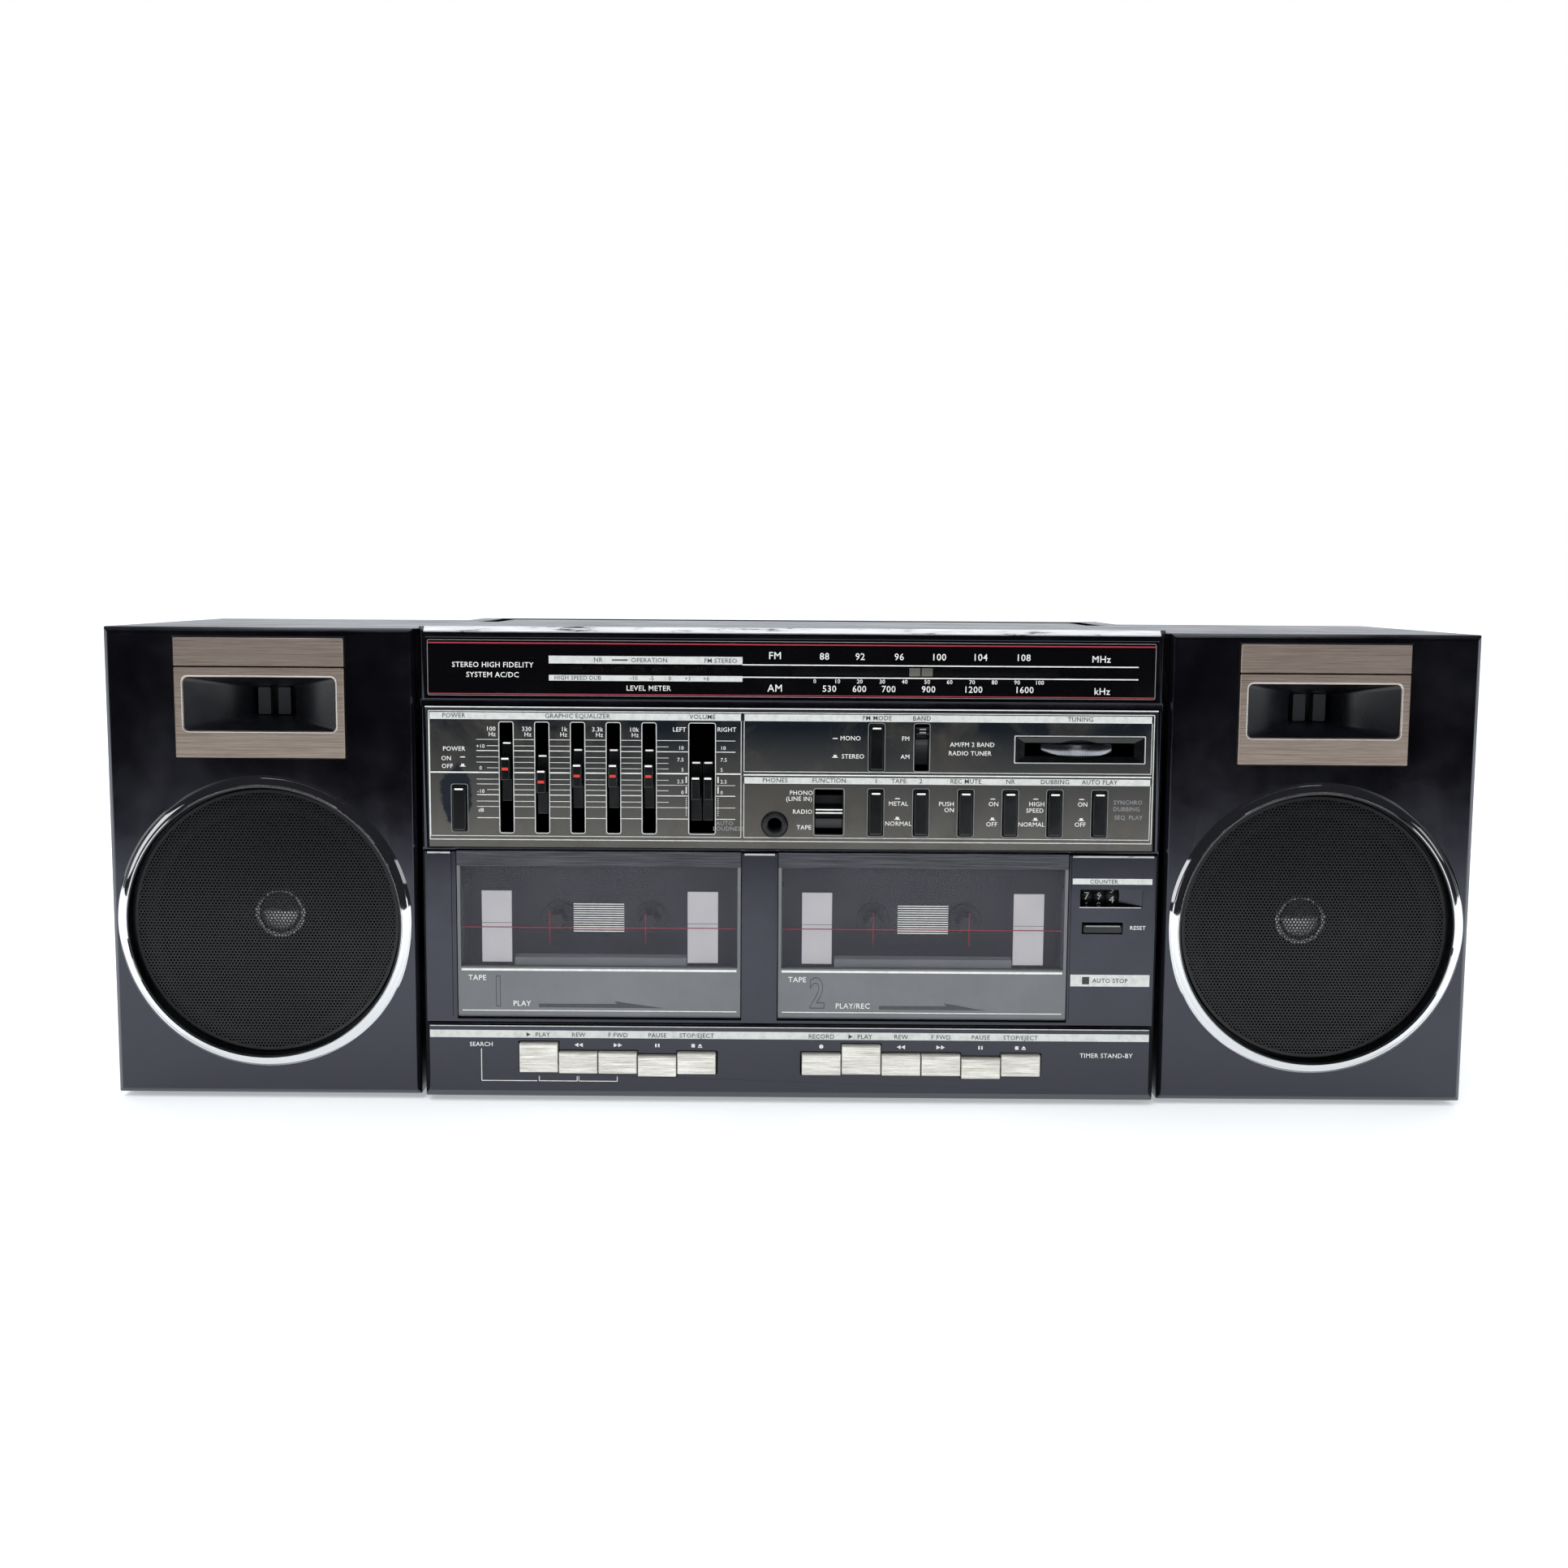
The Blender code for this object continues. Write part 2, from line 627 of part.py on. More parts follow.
# ---- tuning thumbwheel, on an upright axle behind the panel ------------------------------
wheel_centre = (tuning_x, FACE - WHEEL_PROUD + WHEEL_RADIUS)
half_thick = WHEEL_THICK / 2
wheel_profile = (
    (0, tuning_z - half_thick - 6.0),
    (AXLE_RADIUS, tuning_z - half_thick - 6.0),
    (AXLE_RADIUS, tuning_z - half_thick),
    (WHEEL_RADIUS - 0.6, tuning_z - half_thick),
    (WHEEL_RADIUS, tuning_z - half_thick + 0.6),
    (WHEEL_RADIUS, tuning_z + half_thick - 0.6),
    (WHEEL_RADIUS - 0.6, tuning_z + half_thick),
    (AXLE_RADIUS, tuning_z + half_thick),
    (AXLE_RADIUS, tuning_z + half_thick + 6.0),
    (0, tuning_z + half_thick + 6.0),
)
part("tuning_wheel", revolve("Z", wheel_centre, wheel_profile, 48), CHROME, (*wheel_centre, tuning_z), True)

# ---- headphone socket --------------------------------------------------------------------
jack_profile = (
    (JACK_BORE, FACE - 0.6),
    (JACK_RADIUS, FACE - 0.6),
    (JACK_RADIUS, PANEL_BACK + FIT),
    (JACK_RADIUS + 1.6, PANEL_BACK + FIT),
    (JACK_RADIUS + 1.6, FACE + JACK_DEPTH + 2),
    (0, FACE + JACK_DEPTH + 2),
    (0, FACE + JACK_DEPTH),
    (JACK_BORE, FACE + JACK_DEPTH),
)
part("phones_jack", revolve("Y", jack_centre, jack_profile, 32), DECK, smooth=True)

# ---- tape counter ------------------------------------------------------------------------
drum_y = FACE + FRONT_PLATE + DRUM_RADIUS - DRUM_BEHIND + FIT
drum_centre = (drum_y, (counter_z[0] + counter_z[1]) / 2)
drum_left = across(DRUM_X[0])
drum_pitch = (across(DRUM_X[1]) - drum_left) / 3
drum_profile = [(0, drum_left)]
for i in range(3):
    a = drum_left + i * drum_pitch
    b = a + drum_pitch
    drum_profile += [(DRUM_CORE, a), (DRUM_CORE, a + 0.2), (DRUM_RADIUS, a + 0.2)]
    drum_profile += [(DRUM_RADIUS, b - 0.2), (DRUM_CORE, b - 0.2)]
drum_profile += [(DRUM_CORE, across(DRUM_X[1])), (0, across(DRUM_X[1]))]
drum_profile = list(dict.fromkeys(drum_profile))
part(
    "counter_drums",
    revolve("X", drum_centre, drum_profile, 30),
    WHITE,
    ((drum_left + across(DRUM_X[1])) / 2, *drum_centre),
    True,
)

# ---- tape deck chassis with its two wells ------------------------------------------------
chassis_x = (DECK_OPENINGS[0][0][0] - 3.0, DECK_OPENINGS[1][0][1] + 3.0)
chassis_z = (DECK_OPENINGS[0][1][0] - 2.5, DECK_OPENINGS[0][1][1] + 2.5)
chassis_front = INNER_FACE + FIT
well_back = FACE + WELL_DEPTH
chassis_y = (chassis_front, well_back + CHASSIS_BACK)
chassis = part("deck_chassis", box(chassis_x, chassis_y, chassis_z), DECK)
for x, z in DECK_OPENINGS:
    cut(chassis, box(x, (chassis_front - 1, well_back), z))

# ---- cassette doors, hinged along their rounded lower edge, and the spindles behind them ---
for number, limits in ((1, DOOR_1_X), (2, DOOR_2_X)):
    left = across(limits[0])
    right = across(limits[1])
    radius = DOOR_THICK / 2
    top = up(DECK_Z[1])
    profile = [(DOOR_AXIS_Y + radius, top), (FACE + 0.8, top), (FACE, top - 0.8)]
    profile += arc((DOOR_AXIS_Y, DOOR_AXIS_Z), radius, 180, 360, 8)
    hinge = ((left + right) / 2, DOOR_AXIS_Y, DOOR_AXIS_Z)
    door = part(f"cassette_door_{number}", prism("X", profile, left, right), DOOR, hinge)
    thick, reach, low, high = DOOR_ARM
    for inner, outer in ((left + 0.3, left + 0.3 + thick), (right - 0.3 - thick, right - 0.3)):
        add(door, box((inner, outer), (DOOR_AXIS_Y, FACE + DOOR_THICK + reach), (up(low), up(high))))
    window_z = (up(DOOR_WINDOW_Z[0]), up(DOOR_WINDOW_Z[1]))
    cut(door, box((left + 2.0, right - 2.0), (FACE - 1, FACE + 0.5), window_z))
    middle = (left + right) / 2
    for hub, x in (("supply", middle - HUB_SPACING / 2), ("takeup", middle + HUB_SPACING / 2)):
        star = []
        for k in range(24):
            reach = SPINDLE_RADIUS if k % 4 < 1 else SPINDLE_RADIUS * 0.74
            turn = math.pi * k / 12
            star.append((x + reach * math.cos(turn), up(HUB_Z) + reach * math.sin(turn)))
        tip = well_back - FIT - SPINDLE_LENGTH
        base = well_back - FIT
        shaft = prism("Y", star, tip, base)
        spindle = part(f"reel_spindle_{number}_{hub}", shaft, WHITE, (x, well_back, up(HUB_Z)))
        add(spindle, rod("Y", (x, up(HUB_Z)), SPINDLE_BASE, base - 2.0, base, 24))

# ---- transport keys ----------------------------------------------------------------------
for deck, row in enumerate(KEY_ROWS, 1):
    for name, x, z in row:
        cx = (x[0] + x[1]) / 2
        cz = (z[0] + z[1]) / 2
        cap_y = (FOREMOST, FOREMOST + KEY_CAP_DEPTH)
        cap = front_chamfered_box((x[0] + FIT / 2, x[1] - FIT / 2), cap_y, z, 0.5)
        key = part(f"tape_{deck}_{name}_key", cap, KEY, (cx, FOREMOST, cz))
        width, height, length = KEY_STEM
        stem = (FOREMOST + KEY_CAP_DEPTH - 1, FOREMOST + KEY_CAP_DEPTH + length)
        add(key, box((cx - width / 2, cx + width / 2), stem, (cz - height / 2, cz + height / 2)))

# ---- rear shell of the centre unit -------------------------------------------------------
shell_front = SPLIT + SPLIT_GAP
shell = part("rear_shell", box((-HALF, HALF), (shell_front, REAR), (FLOOR, UNIT_TOP)), BLACK)
well_floor = UNIT_TOP - HANDLE_WELL
well_front = HANDLE_AXIS_Y - HANDLE_THICK / 2 - 2.0
ledge_front = REAR - LEDGE[0]
ledge_floor = UNIT_TOP - LEDGE[1]
room = (-inside, inside)
cut(
    shell,
    box(room, (shell_front - 1, well_front - WALL), (FLOOR + WALL, UNIT_TOP - WALL)),
    box(room, (shell_front, ledge_front - WALL), (FLOOR + WALL, well_floor - WALL)),
    box(room, (shell_front, REAR - WALL), (FLOOR + WALL, ledge_floor - WALL)),
)
handle_half = across(HANDLE_HALF)
arm_in = handle_half - HANDLE_ARM
well_outline = (
    (-handle_half - SLIDE_FIT, well_front),
    (-arm_in + SLIDE_FIT, well_front),
    (-arm_in + SLIDE_FIT, HANDLE_WELL_BACK - GRIP_WIDTH - FINGER_ROOM),
    (arm_in - SLIDE_FIT, HANDLE_WELL_BACK - GRIP_WIDTH - FINGER_ROOM),
    (arm_in - SLIDE_FIT, well_front),
    (handle_half + SLIDE_FIT, well_front),
    (handle_half + SLIDE_FIT, HANDLE_WELL_BACK),
    (-handle_half - SLIDE_FIT, HANDLE_WELL_BACK),
)
cut(shell, prism("Z", well_outline, well_floor, UNIT_TOP + 1))
antenna_x = across(ANTENNA_X)
ledge_x = (-HALF - 1, antenna_x + KNUCKLE_RADIUS + 4)
cut(shell, box(ledge_x, (ledge_front, REAR + 1), (ledge_floor, UNIT_TOP + 1)))
cut(shell, rod("Y", (antenna_x, ANTENNA_Z), 2.0 + FIT, ledge_front - WALL - 1, ledge_front + 1, 20))
handle_pin = (HANDLE_AXIS_Y, HANDLE_AXIS_Z)
pin_end = handle_half + SLIDE_FIT + PIN_LENGTH
for side in (-1, 1):
    cut(shell, rod("X", handle_pin, PIN_RADIUS + FIT, side * handle_half, side * (pin_end + FIT), 24))
battery_x = (across(BATTERY_DOOR[0]), across(BATTERY_DOOR[1]))
battery_z = (up(BATTERY_DOOR[2]), up(BATTERY_DOOR[3]))
inlet_x = (across(INLET[0]), across(INLET[1]))
inlet_z = (up(INLET[2]), up(INLET[3]))
through = (REAR - WALL - 1, REAR + 1)
cut(shell, box(battery_x, through, battery_z), box(inlet_x, through, inlet_z))


def rail(side, grow, low, high):
    """The dovetail rail on one side of the centre unit, or the groove for it when it is grown."""
    root = HALF - 1.0
    tip = SPEAKER_IN + RAIL_REACH + grow
    narrow = RAIL_HALF[0] + grow
    wide = RAIL_HALF[1] + grow
    shape = ((side * root, -narrow), (side * tip, -wide), (side * tip, wide), (side * root, narrow))
    return prism("Z", shape, low, high)


for side in (-1, 1):
    add(shell, rail(side, 0.0, up(RAIL_Z[0]), up(RAIL_Z[1])))
for fx in (-0.8, 0.8):
    for fy in (shell_front + 14.0, REAR - 16.0):
        add(shell, rod("Z", (fx * HALF, fy), 8.0, 0.0, FLOOR + 0.5, 24))
    for fz in (FLOOR + BUMPER_IN, ledge_floor - BUMPER_IN):
        add(shell, rod("Y", (fx * HALF * 1.1, fz), 5.0, REAR - 0.5, TOTAL_DEPTH / 2, 20))

# ---- battery door, hinged along its lower edge -------------------------------------------
lid_thick = WALL - FIT
lid_y = (REAR - lid_thick, REAR)
lid_axis = (REAR - lid_thick / 2, battery_z[0] + FIT + lid_thick / 2)
lid_profile = [(lid_y[0], battery_z[1] - FIT), (lid_y[1], battery_z[1] - FIT)]
lid_profile += arc(lid_axis, lid_thick / 2, 0, -180, 8)
part(
    "battery_door",
    prism("X", lid_profile, battery_x[0] + FIT, battery_x[1] - FIT),
    BLACK,
    ((battery_x[0] + battery_x[1]) / 2, *lid_axis),
)

# ---- carrying handle, folded back into the top -------------------------------------------
handle_half_thick = HANDLE_THICK / 2
arm_profile = arc((HANDLE_AXIS_Y, HANDLE_AXIS_Z), handle_half_thick, 90, 270, 12)
grip_back = HANDLE_AXIS_Y + HANDLE_REACH
bevel = 3.0
arm_profile += [
    (grip_back - bevel, HANDLE_AXIS_Z - handle_half_thick),
    (grip_back, HANDLE_AXIS_Z - handle_half_thick + bevel),
    (grip_back, HANDLE_AXIS_Z + handle_half_thick - bevel),
    (grip_back - bevel, HANDLE_AXIS_Z + handle_half_thick),
]
grip_profile = arm_profile[-4:] + [
    (grip_back - GRIP_WIDTH + bevel, HANDLE_AXIS_Z + handle_half_thick),
    (grip_back - GRIP_WIDTH, HANDLE_AXIS_Z + handle_half_thick - bevel),
    (grip_back - GRIP_WIDTH, HANDLE_AXIS_Z - handle_half_thick + bevel),
    (grip_back - GRIP_WIDTH + bevel, HANDLE_AXIS_Z - handle_half_thick),
]
grip = prism("X", grip_profile, -arm_in - 1, arm_in + 1)
handle = part("carry_handle", grip, BLACK, (0, HANDLE_AXIS_Y, HANDLE_AXIS_Z))
for side in (-1, 1):
    add(handle, prism("X", arm_profile, side * arm_in, side * handle_half))
    add(handle, rod("X", handle_pin, PIN_RADIUS, side * (handle_half - 1), side * pin_end, 20))

# ---- telescopic antenna, folded along the ledge at the rear ------------------------------
tube_radius, tube_length = ANTENNA_TUBE
rod_radius, rod_length = ANTENNA_ROD
bore = tube_radius - ANTENNA_WALL
tube_end = antenna_x - tube_length * WIDE
tube_profile = (
    (tube_radius, antenna_x),
    (0, antenna_x),
    (0, antenna_x - 12.0),
    (bore, antenna_x - 12.0),
    (bore, tube_end),
    (tube_radius, tube_end),
)
antenna_line = (ANTENNA_Y, ANTENNA_Z)
tube = revolve("X", antenna_line, tube_profile, 20)
antenna = part("antenna_tube", tube, CHROME, (antenna_x, *antenna_line), True)
add(
    antenna,
    rod("Y", (antenna_x, ANTENNA_Z), KNUCKLE_RADIUS, ledge_front + FIT, REAR - FIT, 24),
    rod("Y", (antenna_x, ANTENNA_Z), 2.0, ledge_front - WALL, ledge_front + 1, 16),
)
rod_tip = tube_end - rod_length * WIDE + tube_length * WIDE - 26.0
rod_profile = (
    (0, antenna_x - 14.0),
    (rod_radius, antenna_x - 14.0),
    (rod_radius, rod_tip + 5.0),
    (ANTENNA_TIP, rod_tip + 4.0),
    (ANTENNA_TIP, rod_tip + 1.0),
    (ANTENNA_TIP - 1.0, rod_tip),
    (0, rod_tip),
)
whip = revolve("X", antenna_line, rod_profile, 20)
part("antenna_rod", whip, CHROME, (tube_end, *antenna_line), True)

# ---- speakers ----------------------------------------------------------------------------
for side, hand in ((-1, "left"), (1, "right")):
    x_in = side * SPEAKER_IN
    x_out = side * SPEAKER_OUT
    mid = side * SPEAKER_MID
    baffle_back = SPEAKER_FACE + FRONT_PLATE
    woofer_z = speaker_up(WOOFER_Z)
    centre = (mid, woofer_z)
    lift = (mid, 0.0, 0.0)
    split = SPLIT + SPEAKER_SET_BACK

    # front moulding with the holes for the woofer and the horn
    speaker_front = part(
        f"speaker_front_{hand}",
        front_chamfered_box((x_in, x_out), (SPEAKER_FACE, split), (FLOOR, SPEAKER_TOP), EDGE),
        BLACK,
        lift,
    )
    hollow_x = (x_in + side * WALL, x_out - side * WALL)
    hollow_z = (FLOOR + WALL, SPEAKER_TOP - WALL)
    cut(speaker_front, box(hollow_x, (baffle_back, split + 1), hollow_z))
    ring_in = RING_RADIUS - RING_WALL
    cut(speaker_front, rod("Y", centre, ring_in + FIT, SPEAKER_FACE - 1, baffle_back + 1, 64))
    plate_half = HORN_HALF * SPEAKER_WIDE
    plate_z = (speaker_up(HORN_Z[0]), speaker_up(HORN_Z[1]))
    mouth_half = HORN_MOUTH_X * SPEAKER_WIDE
    mouth_z = (speaker_up(HORN_MOUTH_Z[0]), speaker_up(HORN_MOUTH_Z[1]))
    seat = grown((mid - plate_half, mid + plate_half), plate_z, FIT / 2)
    cut(speaker_front, box(seat[0], (SPEAKER_FACE - 1, SPEAKER_FACE + HORN_PLATE), seat[1]))
    passage = grown((mid - mouth_half, mid + mouth_half), mouth_z, HORN_WALL + FIT)
    cut(speaker_front, box(passage[0], (SPEAKER_FACE, baffle_back + 1), passage[1]))

    # rear cabinet, with the groove that drops over the centre unit's rail
    cabinet_front = split + SPLIT_GAP
    cabinet = part(
        f"speaker_cabinet_{hand}",
        box((x_in, x_out), (cabinet_front, SPEAKER_REAR), (FLOOR, SPEAKER_TOP)),
        BLACK,
        lift,
    )
    boss_x = side * (SPEAKER_IN + RAIL_REACH + SLIDE_FIT + WALL)
    hollow = (
        (x_in + side * WALL, cabinet_front - 1),
        (x_out - side * WALL, cabinet_front - 1),
        (x_out - side * WALL, SPEAKER_REAR - WALL),
        (x_in + side * WALL, SPEAKER_REAR - WALL),
        (x_in + side * WALL, RAIL_BOSS),
        (boss_x, RAIL_BOSS),
        (boss_x, -RAIL_BOSS),
        (x_in + side * WALL, -RAIL_BOSS),
    )
    cut(cabinet, prism("Z", hollow, FLOOR + WALL, SPEAKER_TOP - WALL))
    cut(cabinet, rail(side, SLIDE_FIT, FLOOR - 1, up(RAIL_Z[1]) + SLIDE_FIT))
    for fx in (-0.3, 0.34):
        for fy in (cabinet_front + 14.0, SPEAKER_REAR - 16.0):
            add(cabinet, rod("Z", (mid + side * fx * SPEAKER_WIDTH, fy), 7.0, 0.0, FLOOR + 0.5, 24))

    # chrome ring: a rounded bead on the face and a sleeve that holds the grille
    bead = SPEAKER_FACE - RING_PROUD
    sleeve_in = ring_in - RING_SLEEVE
    ring_profile = (
        (sleeve_in, SPEAKER_FACE - 0.6),
        (ring_in, bead + 0.6),
        (ring_in + 1.4, bead),
        (RING_RADIUS - 2.0, bead + 0.2),
        (RING_RADIUS - 0.6, bead + 1.2),
        (RING_RADIUS, SPEAKER_FACE - 0.1),
        (ring_in, SPEAKER_FACE - 0.1),
        (ring_in, baffle_back),
        (sleeve_in, baffle_back),
    )
    part(f"woofer_ring_{hand}", revolve("Y", centre, ring_profile, 72), CHROME, lift, True)

    # pressed steel grille inside the sleeve
    grille_front = SPEAKER_FACE + GRILLE_DEEP
    part(
        f"grille_{hand}",
        rod("Y", centre, sleeve_in - FIT, grille_front, grille_front + GRILLE_THICK, 64),
        MESH,
        lift,
        True,
    )

    # woofer: flange behind the baffle, cone with its dust cap, basket and magnet
    seat_y = baffle_back + FIT
    flange = RING_RADIUS - 2.0
    cap_radius = flange * 0.17
    magnet = min(MAGNET_RADIUS, flange * 0.5)
    woofer_profile = (
        (0, seat_y + 12.0),
        (cap_radius * 0.7, seat_y + 13.6),
        (cap_radius, seat_y + 17.0),
        (flange * 0.74, seat_y + 3.5),
        (flange * 0.82, seat_y + 1.2),
        (flange * 0.9, seat_y + 3.0),
        (flange * 0.93, seat_y),
        (flange, seat_y),
        (flange, seat_y + 3.0),
        (flange * 0.92, seat_y + 4.5),
        (magnet * 0.8, seat_y + 32.0),
        (magnet, seat_y + 33.0),
        (magnet, seat_y + DRIVER_DEPTH),
        (0, seat_y + DRIVER_DEPTH),
    )
    part(f"woofer_{hand}", revolve("Y", centre, woofer_profile, 48), CONE, lift, True)

    # horn tweeter: metal face plate, flared horn and the driver behind it
    plate_y = (SPEAKER_FACE - 0.8, SPEAKER_FACE + HORN_PLATE - FIT / 2)
    horn = part(
        f"horn_tweeter_{hand}",
        front_chamfered_box((mid - plate_half, mid + plate_half), plate_y, plate_z, 0.4),
        BRONZE,
        lift,
    )
    horn_mid_z = (mouth_z[0] + mouth_z[1]) / 2
    mouth = (mid - mouth_half, mid + mouth_half, mouth_z[0], mouth_z[1])
    throat_x, throat_z = HORN_THROAT
    throat = (mid - throat_x, mid + throat_x, horn_mid_z - throat_z, horn_mid_z + throat_z)
    wall = HORN_WALL
    horn_back = plate_y[0] + HORN_DEPTH
    outer_mouth = (mouth[0] - wall, mouth[1] + wall, mouth[2] - wall, mouth[3] + wall)
    outer_throat = (throat[0] - wall, throat[1] + wall, throat[2] - wall, throat[3] + wall)
    add(horn, frustum(outer_mouth, plate_y[1] - 0.5, outer_throat, horn_back + wall))
    add(horn, rod("Y", (mid, horn_mid_z), 18.0 * SPEAKER_TALL, horn_back, horn_back + 16.0, 32))
    cut(horn, frustum(mouth, plate_y[0] - SMALL, throat, horn_back))
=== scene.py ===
import json
import math

import bmesh
import bpy
import numpy as np
from mathutils import Matrix, Vector


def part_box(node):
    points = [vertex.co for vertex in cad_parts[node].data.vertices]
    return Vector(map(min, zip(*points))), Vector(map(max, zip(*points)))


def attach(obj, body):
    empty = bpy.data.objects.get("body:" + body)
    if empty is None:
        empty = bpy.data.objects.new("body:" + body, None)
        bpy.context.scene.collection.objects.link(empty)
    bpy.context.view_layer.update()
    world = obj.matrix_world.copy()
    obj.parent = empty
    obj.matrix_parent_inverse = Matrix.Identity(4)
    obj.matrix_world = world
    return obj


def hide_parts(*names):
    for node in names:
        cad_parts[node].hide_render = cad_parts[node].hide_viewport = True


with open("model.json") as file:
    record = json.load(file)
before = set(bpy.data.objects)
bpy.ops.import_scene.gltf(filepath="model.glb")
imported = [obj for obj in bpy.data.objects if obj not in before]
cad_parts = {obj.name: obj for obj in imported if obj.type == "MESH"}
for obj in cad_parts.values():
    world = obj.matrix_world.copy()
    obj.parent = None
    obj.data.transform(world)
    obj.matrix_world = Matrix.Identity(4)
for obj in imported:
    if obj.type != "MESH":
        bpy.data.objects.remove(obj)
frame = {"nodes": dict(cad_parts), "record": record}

# ---- studio: floor, light and camera ------------------------------------------------------------
# The set stands on a white table in front of a white backdrop. The room behind the camera is dim,
# so polished metal shows a bright table in its lower half and a dark room in its upper half.
MM = 0.001
SHARP = math.radians(35)
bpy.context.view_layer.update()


def rgb(colour):
    """An sRGB hex colour as linear red, green, blue and 1."""
    parts = [int(colour[i : i + 2], 16) / 255 for i in (0, 2, 4)]
    return (*[p / 12.92 if p <= 0.04045 else ((p + 0.055) / 1.055) ** 2.4 for p in parts], 1.0)


def put(tree, kind, sockets=None, **settings):
    """Adds a shader node. Settings are its properties. Sockets holds a value or a link for each input."""
    node = tree.nodes.new("ShaderNode" + kind)
    for name, value in settings.items():
        setattr(node, name, value)
    for name, value in (sockets or {}).items():
        if isinstance(value, bpy.types.NodeSocket):
            tree.links.new(value, node.inputs[name])
        else:
            node.inputs[name].default_value = value
    return node


def finish(name, colour, roughness, sockets=None):
    """A new material with the values that are the same all over it. Returns it, its tree and its shader."""
    made = bpy.data.materials.new(name)
    made.use_nodes = True
    shader = made.node_tree.nodes["Principled BSDF"]
    for socket, value in {"Base Color": rgb(colour), "Roughness": roughness, **(sockets or {})}.items():
        shader.inputs[socket].default_value = value
    return made, made.node_tree, shader


def piece(name, points, faces, material, smooth=False):
    """An object from points in mm and faces given as point numbers, with its faces turned outwards."""
    mesh = bpy.data.meshes.new(name)
    mesh.from_pydata((np.asarray(points, float) * MM).tolist(), [], [list(face) for face in faces])
    shape = bmesh.new()
    shape.from_mesh(mesh)
    bmesh.ops.remove_doubles(shape, verts=shape.verts, dist=0.0005 * MM)
    bmesh.ops.recalc_face_normals(shape, faces=shape.faces)
    shape.to_mesh(mesh)
    shape.free()
    return placed(name, mesh, material, smooth)


def placed(name, mesh, material, smooth=False):
    """A mesh as an object at the origin, with one material. Edges sharper than 35 degrees stay sharp."""
    mesh.materials.clear()
    mesh.materials.append(material)
    mesh.shade_smooth() if smooth else mesh.shade_flat()
    if smooth:
        mesh.set_sharp_from_angle(angle=SHARP)
    made = bpy.data.objects.new(name, mesh)
    bpy.context.scene.collection.objects.link(made)
    return made


table_white, tree, shader = finish("white_laminate_table", "f4f6f8", 0.55)
shader.inputs["Emission Color"].default_value = rgb("f3f8fb")
TABLE_FRONT, TABLE_FAR = -780, 30000
at = put(tree, "TexCoord").outputs["Object"]
away = put(tree, "VectorMath", {0: at}, operation="LENGTH")
glow = put(tree, "MapRange", {0: away.outputs["Value"], 1: 0.45, 2: 2.2, 3: 0.42, 4: 1.0})
tree.links.new(glow.outputs[0], shader.inputs["Emission Strength"])
table_x, table_y = np.meshgrid([-TABLE_FAR, TABLE_FAR], [TABLE_FRONT, TABLE_FAR])
table_points = np.stack([table_x.ravel(), table_y.ravel(), np.zeros(4)], axis=1)
table = piece("table", table_points, [[0, 1, 3, 2]], table_white)
if table.data.polygons[0].normal.z < 0:
    table.data.flip_normals()

world = bpy.data.worlds.new("studio")
bpy.context.scene.world = world
world.use_nodes = True
tree = world.node_tree
tree.nodes.clear()
way = put(tree, "SeparateXYZ", {0: put(tree, "TexCoord").outputs["Generated"]})
behind = put(tree, "MapRange", {0: way.outputs["Y"], 1: -0.15, 2: 0.45}, interpolation_type="SMOOTHSTEP")
room = put(tree, "Mix", {0: behind.outputs[0], 6: rgb("26262a"), 7: rgb("d9dde2")}, data_type="RGBA")
seen = put(tree,
           "Mix", {0: put(tree, "LightPath").outputs["Is Camera Ray"], 6: room.outputs[2], 7: (1, 1, 1, 1)},
           data_type="RGBA")
put(tree,
    "OutputWorld", {0: put(tree, "Background", {"Color": seen.outputs[2], "Strength": 1.0}).outputs[0]})

# Each lamp: name, place and size in metres, power, and whether polished metal mirrors it.
LAMPS = (
    ("key_softbox", (-0.5, -1.5, 1.5), 1.3, 30, False),
    ("fill_softbox", (1.0, -1.4, 1.0), 1.2, 9, False),
    ("top_softbox", (0.0, 0.5, 1.5), 1.4, 14, True),
    ("left_card", (-1.9, -0.75, 0.62), 0.9, 2.2, True),
    ("right_card", (1.9, -0.75, 0.7), 0.5, 0.35, True),
)
for name, at, size, power, mirrored in LAMPS:
    lamp = bpy.data.objects.new(name, bpy.data.lights.new(name, "AREA"))
    lamp.data.size = size
    lamp.data.energy = power
    lamp.location = at
    lamp.rotation_euler = (-Vector(at)).to_track_quat("-Z", "Y").to_euler()
    lamp.visible_glossy = mirrored
    bpy.context.scene.collection.objects.link(lamp)

camera = bpy.data.objects.new("camera", bpy.data.cameras.new("camera"))
camera.data.lens = 40.69
camera.location = (-0.0015, -0.8764, 0.2366)
tilt = Matrix.Rotation(0.0021, 3, "Z") @ Matrix.Rotation(math.pi / 2 - 0.1132, 3, "X")
camera.rotation_euler = (tilt @ Matrix.Rotation(0.0066, 3, "Z")).to_euler()
bpy.context.scene.collection.objects.link(camera)
bpy.context.scene.camera = camera
bpy.context.scene.view_settings.view_transform = "Standard"

# ---- casings ------------------------------------------------------------------------------------
# The centre set and both loudspeakers are injection-moulded black ABS with a fine satin grain, each
# a front and a rear shell. Their edges are rounded by the mould, and years of use left dust on them.


